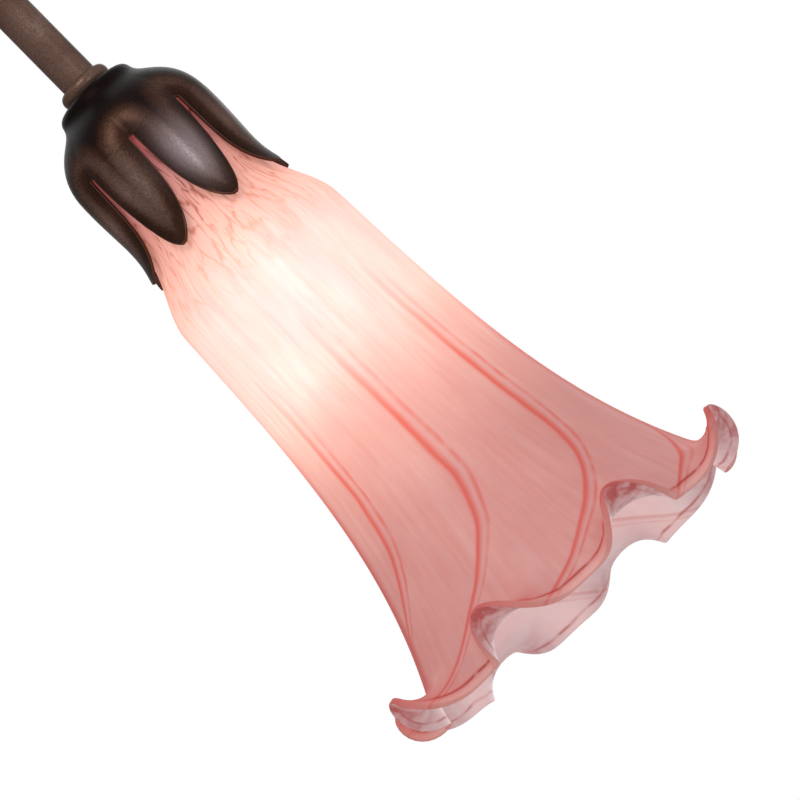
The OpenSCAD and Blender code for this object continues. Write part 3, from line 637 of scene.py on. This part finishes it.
# Painted bulb light on the flecks: brown up among the petals, turning pale peach towards the bulb.
fleck_colour = put(tree, "ShaderNodeValToRGB", {0: marks.outputs["along"]}, stops=(
    (0.14, "8E5C56"), (0.22, "B98876"), (0.30, "E4B09A"), (0.38, "FFD8BE")))
body, light = tinted(tree, colour_with_painted_light, painted_glow, (
    (marks.outputs["cloud"], 1.0, "EEDFE2"), (marks.outputs["streak"], 0.75, "F0CAC4"),
    (marks.outputs["fine"], 0.5, "FFE2D0"), (marks.outputs["core"], 0.6, "F2F0F6"),
    (marks.outputs["thread"], 0.95, "F2968C"), (marks.outputs["fleck"], 0.95, fleck_colour),
    (marks.outputs["line"], 0.95, "D0645E"), (marks.outputs["fold"], 0.8, "D87C78"),
    (paler, 1.0, "FFC4AE"), (edge_on, 0.9, "DE6E64")))
bead = put(tree, "ShaderNodeMath", {0: marks.outputs["bead"], 1: 0.4}, operation="MULTIPLY")
gathered = put(tree, "ShaderNodeMix", {
    0: marks.outputs["fold"], 6: linear("F2C2B6"), 7: linear("B4605C")},
    data_type="RGBA").outputs[2]
body = put(tree, "ShaderNodeMix", {0: bead, 6: body, 7: gathered}, data_type="RGBA").outputs[2]
surface(tree, marks.outputs["streak"], 0.12, 0.0004, {
    "Base Color": body, "Roughness": 0.48, "IOR": 1.5, "Specular IOR Level": 0.1,
    "Emission Color": light, "Emission Strength": 1.0})

# The inside: the opal lining, fire-polished and paler, with the coral showing through as thin
# threads and as deep mottled folds on the crests. The bulb's light on it is painted: its colour
# ramp is lighter round the bulb, and its painted glow is brightest there and dims towards the
# mouth.
inner_glass, tree = blank("opal glass lining")
marks = put(tree, "ShaderNodeGroup", node_tree=pattern)
colour_with_painted_light = put(tree, "ShaderNodeValToRGB", {0: marks.outputs["along"]}, stops=(
    (0.10, "E8D8CC"), (0.45, "F2E2D4"), (0.70, "E0D0CE"), (0.88, "DDD0D0")))
painted_glow = put(tree, "ShaderNodeValToRGB", {0: marks.outputs["along"]}, stops=(
    (0.10, "C8A08C"), (0.42, "FFE8CC"), (0.62, "C8A89F"), (0.78, "A08F8E"), (0.90, "988C8D")))
mottled = put(tree, "ShaderNodeMath", {
    0: marks.outputs["mottle"], 1: 0.6, 2: 0.4}, operation="MULTIPLY_ADD")
mottled = put(tree, "ShaderNodeMath", {0: marks.outputs["fold"], 1: mottled}, operation="MULTIPLY")
body, light = tinted(tree, colour_with_painted_light, painted_glow, (
    (marks.outputs["cloud"], 1.0, "F6E4E4"), (marks.outputs["streak"], 0.3, "F6DEDC"),
    (marks.outputs["thread"], 0.45, "DE948E"), (marks.outputs["line"], 0.85, "C87470"),
    (marks.outputs["fold"], 0.5, "E09C9A"), (mottled, 1.2, "C25E5A")))
surface(tree, marks.outputs["cloud"], 0.3, 0.0006, {
    "Base Color": body, "Roughness": 0.24, "IOR": 1.5, "Emission Color": light,
    "Emission Strength": 0.8})
shade.data.materials.append(inner_glass)
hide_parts("glass_shade")
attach(shade, "lamp")


# Holder: one piece of spun and pressed sheet, 1 mm thick, cut into eight petals that lie on the
# glass. Each petal is domed along its middle, and the creases between them run up into the cup.
def bend(a, b, c, d, parts):
    return [tuple(p * (1 - t) ** 3 + 3 * q * (1 - t) ** 2 * t + 3 * r * (1 - t) * t * t + s * t ** 3
                  for p, q, r, s in zip(a, b, c, d)) for t in parts]


def even(steps, end=1.0):
    return [end * (i + 1) / steps for i in range(steps)]


cup_top = 4.7
petal_count = 8
slit_depth = 23.0
slit_width = 1.5
petal_length = 36.0
petal_end = 58.8
cup_r = 27.7
outline = [(4.95, 0.0), (6.5, 0.0), (9.0, 0.0)]
outline += bend((9.0, 0.0), (12.0, 0.0), (14.0, 0.5), (14.4, 3.0), even(8))
outline += bend((14.4, 3.0), (14.8, 4.8), (15.9, 5.8), (17.9, 7.4), even(6))
outline += bend((17.9, 7.4), (21.5, 10.2), (26.7, 14.6), (27.7, slit_depth), even(16))
outline += [(27.71, slit_depth + 0.13), (27.72, slit_depth + 0.3), (27.74, slit_depth + 0.5),
            (27.77, slit_depth + 0.75)]
outline += bend(outline[-1], (28.1, 29.4), (27.7, 35.8), (27.3, 44.0), even(14))
slowing = [0.88 + 0.12 * math.sin(math.pi / 2 * step) for step in even(9)]
outline += bend((27.3, 44.0), (27.2, 49.5), (27.7, 54.4), (30.0, petal_end),
                even(12, 0.88) + slowing)
tip_half = 0.05
tip_blunt = 2.4
side_full = 0.62
side_crowd = 0.35
crease_top = 4.0
crease_depth = 0.0148
columns = 20
full_half = math.pi * cup_r / petal_count
form = bmesh.new()
from_edge = form.verts.layers.float.new("from_edge")
rows = []
for radius, height in outline:
    fall = height - slit_depth
    on_petal = fall > 1e-6
    down = max(0.0, fall / petal_length)
    half = math.pi * radius / petal_count
    if on_petal:
        opened = min(1.0, fall / (slit_width / 2))
        half = full_half - slit_width / 2 * math.sqrt(1 - (1 - opened) ** 2)
        half = max(tip_half, half * max(0.0, 1 - down ** tip_blunt) ** side_full)
    ease = max(0.0, min(1.0, (height - crease_top) / (slit_depth - crease_top)))
    ease = ease * ease * (3 - 2 * ease)
    row = []
    for i in range(columns + 1):
        u = 2 * i / columns - 1
        crowded = side_crowd * math.sin(u * math.pi / 2) + (1 - side_crowd) * u
        side = half * (crowded if on_petal else u)
        crease = crease_depth * side * side * ease
        angle = side / radius
        r = radius - crease
        vert = form.verts.new((r * math.cos(angle), r * math.sin(angle), height))
        if on_petal:
            vert[from_edge] = min(half - abs(side), petal_end - height) + 0.001
        else:
            vert[from_edge] = math.hypot(half - abs(side), fall) + 0.001
        row.append(vert)
    rows.append(row)
for one, two in zip(rows, rows[1:]):
    for i in range(columns):
        form.faces.new((one[i], two[i], two[i + 1], one[i + 1]))
petal = bpy.data.meshes.new("petal")
form.to_mesh(petal)
form.free()
holder_sizes = {"petal_count": petal_count, "petal_phase": 17}
tree, size = sized_tree("turned petals", holder_sizes)
copies = put(tree, "GeometryNodeMeshLine", {
    "Count": size["petal_count"], "Offset": (0.0, 0.0, 0.0)})
known = reckon(tree, dict(size, index=put(tree, "GeometryNodeInputIndex").outputs[0]), """
    step = DIVIDE 360 petal_count
    angle = MULTIPLY_ADD index step petal_phase
    angle = RADIANS angle
""")
copies = put(tree, "GeometryNodeInstanceOnPoints", {
    "Points": copies, "Instance": tree.nodes["Group Input"].outputs["Geometry"],
    "Rotation": put(tree, "ShaderNodeCombineXYZ", {2: known["angle"]})})
shape = to_head(tree, copies, cup_top)
shape = put(tree, "GeometryNodeRealizeInstances", {"Geometry": shape})
bronze = bpy.data.materials.new("mahogany bronze powder coat")
shape = put(tree, "GeometryNodeSetMaterial", {"Geometry": shape, "Material": bronze})
put(tree, "NodeGroupOutput", {"Geometry": shape})
holder = grown("leafed_holder", tree, holder_sizes, petal)
face_outwards(holder)
wall = holder.modifiers.new("sheet", "SOLIDIFY")
wall.thickness = 0.001
wall.offset = -1
wall.use_even_offset = True
soft = holder.modifiers.new("softened edge", "BEVEL")
soft.width = 0.00022
soft.segments = 2
soft.limit_method = "ANGLE"
soft.angle_limit = math.radians(50)

# The coat is a baked powder over steel: dark red-brown and satin, with a fine pebbled skin. Light
# and shade are painted into its tone: a painted highlight down the middle of each petal, strongest
# in a band partway down it, painted shade nearly black towards the sides and in the creases, and a
# painted grey sheen on the petal at the front and above.
coats = bpy.data.node_groups.new("powder coat", "ShaderNodeTree")
coats.interface.new_socket("rubbed", in_out="INPUT", socket_type="NodeSocketFloat")
coats.interface.new_socket("colour", in_out="OUTPUT", socket_type="NodeSocketColor")
for name in ("roughness", "skin"):
    coats.interface.new_socket(name, in_out="OUTPUT", socket_type="NodeSocketFloat")
rubbed = put(coats, "NodeGroupInput")
spot = put(coats, "ShaderNodeTexCoord").outputs["Object"]
blotch = put(coats, "ShaderNodeTexNoise", {
    "Vector": spot, "Scale": 42.0, "Detail": 3.0, "Roughness": 0.6})
speck = put(coats, "ShaderNodeTexNoise", {"Vector": spot, "Scale": 1900.0, "Detail": 1.0})
pebble = put(coats, "ShaderNodeTexNoise", {"Vector": spot, "Scale": 950.0, "Detail": 2.0})
known = reckon(coats, {
    "rubbed": rubbed.outputs[0], "blotch": blotch.outputs[0], "speck": speck.outputs[0]}, """
    shift = SUBTRACT blotch 0.5
    tone = MULTIPLY_ADD shift 0.45 rubbed
    grit = SUBTRACT speck 0.5
    tone = MULTIPLY_ADD grit 0.26 tone clamped
    rough = MULTIPLY_ADD grit 0.3 0.36
    worn = MULTIPLY tone -0.08
    rough = ADD rough worn
""")
tone = put(coats, "ShaderNodeValToRGB", {0: known["tone"]}, stops=(
    (0.0, "0A0606"), (0.30, "1D1210"), (0.55, "40291F"), (0.80, "70574C"), (1.0, "A08E88")))
put(coats, "NodeGroupOutput", {"colour": tone, "roughness": known["rough"], "skin": pebble})

tree = empty_tree(bronze)
edge = put(tree, "ShaderNodeAttribute", attribute_name="from_edge")
axes = put(tree, "ShaderNodeSeparateXYZ", {0: put(tree, "ShaderNodeGroup", node_tree=head_place)})
# The bare edge, the band of painted highlight, and the painted sheen on one petal: places in
# millimetres down the axis or in from the cut, and the direction round the axis of the sheened
# petal.
wear_and_sheen_sizes = {
    "cut_to": 0.6, "cut_fade": 0.4, "cut_most": 0.55, "held_at": 44, "held_reach": 11,
    "grip_x": -0.383, "grip_y": -0.924, "grip_from": 0.88, "grip_rise": 8.3, "grey_most": 0.55,
    "inner_from": 6,
}
# Here worn is no wear: it is the painted sheen on the front petal, lying within the painted
# highlight band.
known = reckon(tree, dict(
    wear_and_sheen_sizes, edge=edge.outputs["Fac"], **dict(zip("xyz", axes.outputs))), """
    is_cut = GREATER_THAN edge 0
    cut = SUBTRACT cut_to edge
    cut = DIVIDE cut cut_fade clamped
    cut = MULTIPLY cut is_cut
    cut = MULTIPLY cut cut_most
    held = SUBTRACT z held_at
    held = DIVIDE held held_reach
    held = MULTIPLY held held
    held = MULTIPLY held -1
    held = EXPONENT held
    inner = DIVIDE edge inner_from
    inner = MINIMUM inner 1
    held = MULTIPLY held inner
    grip = MULTIPLY x grip_x
    grip = MULTIPLY_ADD y grip_y grip
    rr = MULTIPLY x x
    rr = MULTIPLY_ADD y y rr
    r = SQRT rr
    worn = DIVIDE grip r
    worn = SUBTRACT worn grip_from
    worn = MULTIPLY worn grip_rise
    worn = MAXIMUM worn 0
    worn = MULTIPLY worn held
    grey = MULTIPLY worn grey_most
""")
# The name rubbed here carries painted light: the curve lightens the coat about 6 mm in from the cut
# and darkens it at the cut and further in, and the painted highlight band and the front petal's
# painted sheen are added to it.
curve_reach = 20.0
inwards = put(tree, "ShaderNodeMath", {0: edge.outputs["Fac"], 1: curve_reach}, operation="DIVIDE",
              use_clamp=True)
rubbed = put(tree, "ShaderNodeFloatCurve", {"Value": inwards})
curve = rubbed.mapping.curves[0]
curve.points[0].location = (0.0, 0.4)
curve.points[1].location = (1.0, 0.2)
for place, height in ((0.14, 0.46), (0.3, 0.6), (0.42, 0.56), (0.62, 0.3)):
    curve.points.new(place, height)
rubbed = put(tree, "ShaderNodeMath", {
    0: known["held"], 1: 0.2, 2: rubbed}, operation="MULTIPLY_ADD")
rubbed = put(tree, "ShaderNodeMath", {
    0: known["worn"], 1: 0.1, 2: rubbed}, operation="MULTIPLY_ADD")
coat = put(tree, "ShaderNodeGroup", {"rubbed": rubbed}, node_tree=coats)
# Painted grey sheen on the front petal, then the lighter bare cut edge.
toned = put(tree, "ShaderNodeMix", {
    0: known["grey"], 6: coat.outputs["colour"], 7: linear("9C9299")}, data_type="RGBA").outputs[2]
toned = put(tree, "ShaderNodeMix", {
    0: known["cut"], 6: toned, 7: linear("6E4A3E")}, data_type="RGBA").outputs[2]
surface(tree, coat.outputs["skin"], 0.25, 0.0002, {
    "Base Color": toned, "Metallic": 0.4, "Roughness": coat.outputs["roughness"],
    "Specular IOR Level": 0.12, "Specular Tint": linear("4A4240")})
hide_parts("petal_holder")
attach(holder, "lamp")


# Arm, rings, cover and knob: the bent steel tube, the two beaded rings that hide its ends, the spun
# cover of the base and the fluted knob, all in the same coat as the holder but evenly rubbed.
def dress(finish, *nodes):
    """Gives every slot of these solids the finish."""
    for name in nodes:
        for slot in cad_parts[name].material_slots:
            slot.material = finish


even_coat, tree = blank("mahogany bronze powder coat, evenly rubbed")
coat = put(tree, "ShaderNodeGroup", {"rubbed": 0.74}, node_tree=coats)
surface(tree, coat.outputs["skin"], 0.25, 0.0002, {
    "Base Color": coat.outputs["colour"], "Metallic": 0.4, "Roughness": coat.outputs["roughness"],
    "Specular IOR Level": 0.12, "Specular Tint": linear("4A4240")})
dress(even_coat, "arm_tube", "head_ring", "stem_ring", "base_cover", "switch_knob")


# Base: a sand-cast iron disc that keeps the lamp from tipping, with a pad of green wool felt
# glued under it. Both are hidden by the cover until the lamp is turned over.
cast_iron, tree = blank("sand-cast iron, unpainted")
spot = put(tree, "ShaderNodeTexCoord").outputs["Object"]
sand = put(tree, "ShaderNodeTexNoise", {
    "Vector": spot, "Scale": 700.0, "Detail": 4.0, "Roughness": 0.65})
pits = put(tree, "ShaderNodeTexVoronoi", {"Vector": spot, "Scale": 260.0})
stain = put(tree, "ShaderNodeTexNoise", {"Vector": spot, "Scale": 30.0, "Detail": 4.0})
tone = put(tree, "ShaderNodeValToRGB", {0: stain}, stops=(
    (0.35, "2E2E30"), (0.52, "3C3B3C"), (0.66, "4B443F"), (0.8, "5A4334")))
rough = put(tree, "ShaderNodeMapRange", {"Value": sand, "To Min": 0.55, "To Max": 0.85})
height = put(tree, "ShaderNodeMath", {
    0: pits.outputs["Distance"], 1: 0.4, 2: sand}, operation="MULTIPLY_ADD")
surface(tree, height, 0.7, 0.0004, {"Base Color": tone, "Metallic": 0.7, "Roughness": rough})
dress(cast_iron, "base_weight")

felt, tree = blank("green wool felt")
spot = put(tree, "ShaderNodeTexCoord").outputs["Object"]
curl = put(tree, "ShaderNodeTexNoise", {"Vector": spot, "Scale": 260.0, "Detail": 2.0})
curl = put(tree, "ShaderNodeVectorMath", {
    0: curl.outputs["Color"], 1: (0.004, 0.004, 0.004)}, operation="MULTIPLY")
curl = put(tree, "ShaderNodeVectorMath", {0: spot, 1: curl}, operation="ADD")
hairs = put(tree, "ShaderNodeTexWave", {
    "Vector": curl, "Scale": 420.0, "Distortion": 9.0, "Detail": 3.0})
thick = put(tree, "ShaderNodeTexNoise", {"Vector": spot, "Scale": 90.0, "Detail": 5.0})
share = put(tree, "ShaderNodeMath", {
    0: hairs.outputs["Fac"], 1: 0.45, 2: thick}, operation="MULTIPLY_ADD")
tone = put(tree, "ShaderNodeValToRGB", {
    0: share}, stops=((0.3, "1C2416"), (0.6, "2C3722"), (0.95, "46543A")))
surface(tree, share, 0.6, 0.0005, {
    "Base Color": tone, "Roughness": 0.95, "Specular IOR Level": 0.1, "Sheen Weight": 0.5,
    "Sheen Roughness": 0.6, "Sheen Tint": linear("A8B698")})
dress(felt, "felt_pad")


# Brass: the threaded nipples that hold base, arm and head together, the lamp holder's shell,
# contact and screws, and the switch's shaft. Unlacquered, so it has gone dull in patches. Each
# thread is a ridge that climbs one pitch a turn round its own axis.
turned = bpy.data.node_groups.new("turned metal", "ShaderNodeTree")
for name, kind in (("place", "NodeSocketVector"), ("pitch", "NodeSocketFloat")):
    turned.interface.new_socket(name, in_out="INPUT", socket_type=kind)
for name in ("ridge", "dull", "tooled"):
    turned.interface.new_socket(name, in_out="OUTPUT", socket_type="NodeSocketFloat")
given = put(turned, "NodeGroupInput")
axes = put(turned, "ShaderNodeSeparateXYZ", {0: given.outputs["place"]})
tooled = put(turned, "ShaderNodeMapping", {
    "Vector": given.outputs["place"], "Scale": (0.3, 0.3, 9.0)}, vector_type="POINT")
tooled = put(turned, "ShaderNodeTexNoise", {"Vector": tooled, "Scale": 1.0, "Detail": 3.0})
dull = put(turned, "ShaderNodeTexNoise", {
    "Vector": given.outputs["place"], "Scale": 0.35, "Detail": 4.0})
known = reckon(turned, {
    "x": axes.outputs[0], "y": axes.outputs[1], "z": axes.outputs[2],
    "pitch": given.outputs["pitch"]}, """
    turn = ARCTAN2 y x
    turn = DIVIDE turn 6.2831853
    climb = DIVIDE z pitch
    climb = ADD climb turn
    ridge = PINGPONG climb 0.5
    ridge = MULTIPLY ridge 2
""")
put(turned, "NodeGroupOutput", {"ridge": known["ridge"], "dull": dull, "tooled": tooled})

turned_brass = ("7A5A2A", "B98F4C", "D9B878")
rolled_brass = ("806030", "C09650", "E0C080")
for label, colours, pitch, depth, on_the_head, nodes in (
        ("unlacquered brass, cut thread on an upright axis", turned_brass, 1.0, 0.0003, False,
         ("base_nipple",)),
        ("unlacquered brass, cut thread on the head's axis", turned_brass, 1.0, 0.0003, True,
         ("head_nipple",)),
        ("unlacquered brass, turned smooth", turned_brass, 0.25, 0.00003, False,
         ("switch_shaft",)),
        ("unlacquered brass, pressed", rolled_brass, 0.4, 0.00003, True,
         ("centre_contact", "terminal_screws")),
        ("thin brass, rolled to a thread", rolled_brass, 2.82, 0.0008, True, ("screw_shell",)),
        ("aluminium, rolled to a thread", ("8A8884", "B4B2AE", "D4D2CE"), 2.82, 0.0008, True,
         ("bulb_cap",))):
    finish, tree = blank(label)
    if on_the_head:
        spot = put(tree, "ShaderNodeGroup", node_tree=head_place)
    else:
        spot = put(tree, "ShaderNodeTexCoord")
        spot = put(tree, "ShaderNodeMapping", {
            "Vector": spot.outputs["Object"], "Scale": (1000.0, 1000.0, 1000.0)},
            vector_type="POINT")
    made = put(tree, "ShaderNodeGroup", {"place": spot, "pitch": pitch}, node_tree=turned)
    tone = put(tree, "ShaderNodeValToRGB", {0: made.outputs["dull"]}, stops=(
        (0.3, colours[0]), (0.48, colours[1]), (0.7, colours[2])))
    rough = put(tree, "ShaderNodeMapRange", {
        "Value": made.outputs["tooled"], "From Min": 0.3, "From Max": 0.7, "To Min": 0.2,
        "To Max": 0.42})
    height = put(tree, "ShaderNodeMath", {
        0: made.outputs["tooled"], 1: 0.08, 2: made.outputs["ridge"]}, operation="MULTIPLY_ADD")
    surface(tree, height, 0.9, depth, {"Base Color": tone, "Metallic": 1.0, "Roughness": rough})
    dress(finish, *nodes)


# Steel: the washers and locknuts on the nipples and the drawn cap over the lamp holder, bright
# zinc plate with the faint straw and blue film that passivation leaves in small crystals.
zinc, tree = blank("bright zinc plate on steel")
spot = put(tree, "ShaderNodeTexCoord").outputs["Object"]
crystal = put(tree, "ShaderNodeTexVoronoi", {"Vector": spot, "Scale": 900.0})
crystal_tone = put(tree, "ShaderNodeSeparateColor", {0: crystal.outputs["Color"]})
film = put(tree, "ShaderNodeTexNoise", {"Vector": spot, "Scale": 150.0, "Detail": 3.0})
tone = put(tree, "ShaderNodeValToRGB", {0: film}, stops=(
    (0.32, "A9AFB8"), (0.5, "BDBDBB"), (0.68, "C4BCA6")))
rough = put(tree, "ShaderNodeMapRange", {
    "Value": crystal_tone.outputs[0], "To Min": 0.24, "To Max": 0.44})
height = put(tree, "ShaderNodeMath", {
    0: crystal_tone.outputs[0], 1: 0.5, 2: film}, operation="MULTIPLY_ADD")
surface(tree, height, 0.25, 0.0001, {"Base Color": tone, "Metallic": 1.0, "Roughness": rough})
dress(zinc, "base_washer", "base_locknut", "holder_washer", "holder_locknut", "socket_cap")


# Switch nut: the round slotted nut that clamps the switch under the cover, in the lamp's coat but
# worn to a lighter brown on its top edge by the tool that turned it.
worn_coat, tree = blank("bronze powder coat, worn lighter")
coat = put(tree, "ShaderNodeGroup", {"rubbed": 0.8}, node_tree=coats)
scuff = put(tree, "ShaderNodeTexNoise", {
    "Vector": put(tree, "ShaderNodeTexCoord").outputs["Object"], "Scale": 500.0, "Detail": 3.0})
scuff = put(tree, "ShaderNodeMapRange", {
    "Value": scuff, "From Min": 0.5, "From Max": 0.62, "To Max": 0.7})
toned = put(tree, "ShaderNodeMix", {0: scuff, 6: coat.outputs["colour"], 7: linear("8C6C58")},
            data_type="RGBA").outputs[2]
surface(tree, coat.outputs["skin"], 0.25, 0.0002, {
    "Base Color": toned, "Metallic": 0.5, "Roughness": coat.outputs["roughness"]})
dress(worn_coat, "switch_nut")


# Mouldings: the cord inlet and the switch's case in matt black plastic, the lamp holder and the
# ring that clamps the glass in brown-black phenolic, the wires' soft covering and the ivory caps
# on the splices. Each is one colour with the flow and the mould's skin showing in it.
for label, low, high, flow, skin, rough_from, rough_to, level, nodes in (
        ("matt black nylon", "0B0A09", "1A1816", 60.0, 1500.0, 0.46, 0.62, 0.4,
         ("cord_gland", "switch_body")),
        ("brown-black phenolic", "140D09", "2B1C14", 120.0, 700.0, 0.30, 0.46, 0.5,
         ("shade_ring", "socket_body")),
        ("soft dark lead covering", "171514", "2A2625", 45.0, 900.0, 0.40, 0.55, 0.4,
         ("socket_leads", "switch_lead")),
        ("ivory nylon", "CFC4A8", "E6DCC4", 80.0, 600.0, 0.34, 0.48, 0.5, ("crimp_caps",))):
    finish, tree = blank(label)
    spot = put(tree, "ShaderNodeTexCoord").outputs["Object"]
    flows = put(tree, "ShaderNodeTexNoise", {
        "Vector": spot, "Scale": flow, "Detail": 4.0, "Distortion": 1.5})
    skins = put(tree, "ShaderNodeTexNoise", {"Vector": spot, "Scale": skin, "Detail": 2.0})
    tone = put(tree, "ShaderNodeValToRGB", {0: flows}, stops=((0.32, low), (0.7, high)))
    rough = put(tree, "ShaderNodeMapRange", {
        "Value": skins, "From Min": 0.3, "From Max": 0.7, "To Min": rough_from,
        "To Max": rough_to})
    surface(tree, skins, 0.25, 0.0001, {
        "Base Color": tone, "Roughness": rough, "Specular IOR Level": level})
    dress(finish, *nodes)


# Bulb: a small white-coated candelabra bulb, lit. The coating is brightest round the filament and
# thins towards the neck; inside are the clear stem and the glowing wire, and at the foot a black
# glass insulator with a soldered point.
def along_head(node):
    """How far down the head's axis, in millimetres, each point of this solid lies."""
    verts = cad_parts[node].data.vertices
    return [1000 * (vert.co - head_end).dot(head_axis) for vert in verts]


filament_at = max(along_head("bulb_filament"))
coated, tree = blank("white-coated bulb glass, lit")
spot = put(tree, "ShaderNodeGroup", node_tree=head_place)
axes = put(tree, "ShaderNodeSeparateXYZ", {0: spot})
powder = put(tree, "ShaderNodeTexNoise", {"Vector": spot, "Scale": 1.4, "Detail": 3.0})
known = reckon(tree, {
    "z": axes.outputs[2], "powder": powder.outputs[0], "lit_at": round(filament_at, 3),
    "lit_reach": 34}, """
    off = SUBTRACT z lit_at
    off = DIVIDE off lit_reach
    off = MULTIPLY off off
    off = MULTIPLY off -1
    lit = EXPONENT off
    grit = SUBTRACT powder 0.5
    lit = MULTIPLY_ADD grit 0.12 lit
""")
warm = put(tree, "ShaderNodeValToRGB", {0: known["lit"]}, stops=(
    (0.0, "7A4A26"), (0.4, "D8A46A"), (0.75, "FFE0AE"), (1.0, "FFF6E2")))
surface(tree, powder, 0.1, 0.0001, {
    "Base Color": linear("F4EEE4"), "Roughness": 0.35, "Emission Color": warm,
    "Emission Strength": 2.4})
dress(coated, "bulb_glass")

stem_glass, tree = blank("clear pressed glass")
seam = put(tree, "ShaderNodeTexNoise", {
    "Vector": put(tree, "ShaderNodeTexCoord").outputs["Object"], "Scale": 300.0, "Detail": 2.0})
surface(tree, seam, 0.3, 0.0002, {
    "Base Color": linear("E8F0EC"), "Roughness": 0.06, "IOR": 1.5, "Transmission Weight": 0.9})
dress(stem_glass, "bulb_stem")

hot_wire, tree = blank("glowing tungsten wire")
coil_height = 2.2
hot_from = round(filament_at - coil_height, 3)
spot = put(tree, "ShaderNodeGroup", node_tree=head_place)
axes = put(tree, "ShaderNodeSeparateXYZ", {0: spot})
known = reckon(tree, {
    "y": axes.outputs[1], "z": axes.outputs[2], "hot_from": hot_from}, """
    coil = MULTIPLY y 3.2
    coil = PINGPONG coil 0.5
    hot = SUBTRACT z hot_from
    hot = DIVIDE hot 1.5 clamped
""")
warm = put(tree, "ShaderNodeValToRGB", {0: known["hot"]}, stops=((0.0, "5A2A10"), (1.0, "FFC880")))
surface(tree, known["coil"], 0.6, 0.0002, {
    "Base Color": linear("8C8680"), "Metallic": 1.0, "Roughness": 0.4, "Emission Color": warm,
    "Emission Strength": 4.0})
dress(hot_wire, "bulb_filament")

tip_at = min(along_head("bulb_tip"))
foot, tree = blank("black glass with a soldered point")
solder_height = 0.85
solder_to = round(tip_at + solder_height, 3)
spot = put(tree, "ShaderNodeGroup", node_tree=head_place)
axes = put(tree, "ShaderNodeSeparateXYZ", {0: spot})
lumps = put(tree, "ShaderNodeTexNoise", {"Vector": spot, "Scale": 1.6, "Detail": 2.0})
known = reckon(tree, {
    "z": axes.outputs[2], "lumps": lumps.outputs[0], "solder_to": solder_to}, """
    edge = MULTIPLY_ADD lumps 0.4 z
    solder = LESS_THAN edge solder_to
""")
tone = put(tree, "ShaderNodeMix", {0: known["solder"], 6: linear("0C0C0E"), 7: linear("A4A29C")},
           data_type="RGBA").outputs[2]
surface(tree, lumps, 0.5, 0.0003, {
    "Base Color": tone, "Metallic": known["solder"], "Roughness": 0.22})
dress(foot, "bulb_tip")
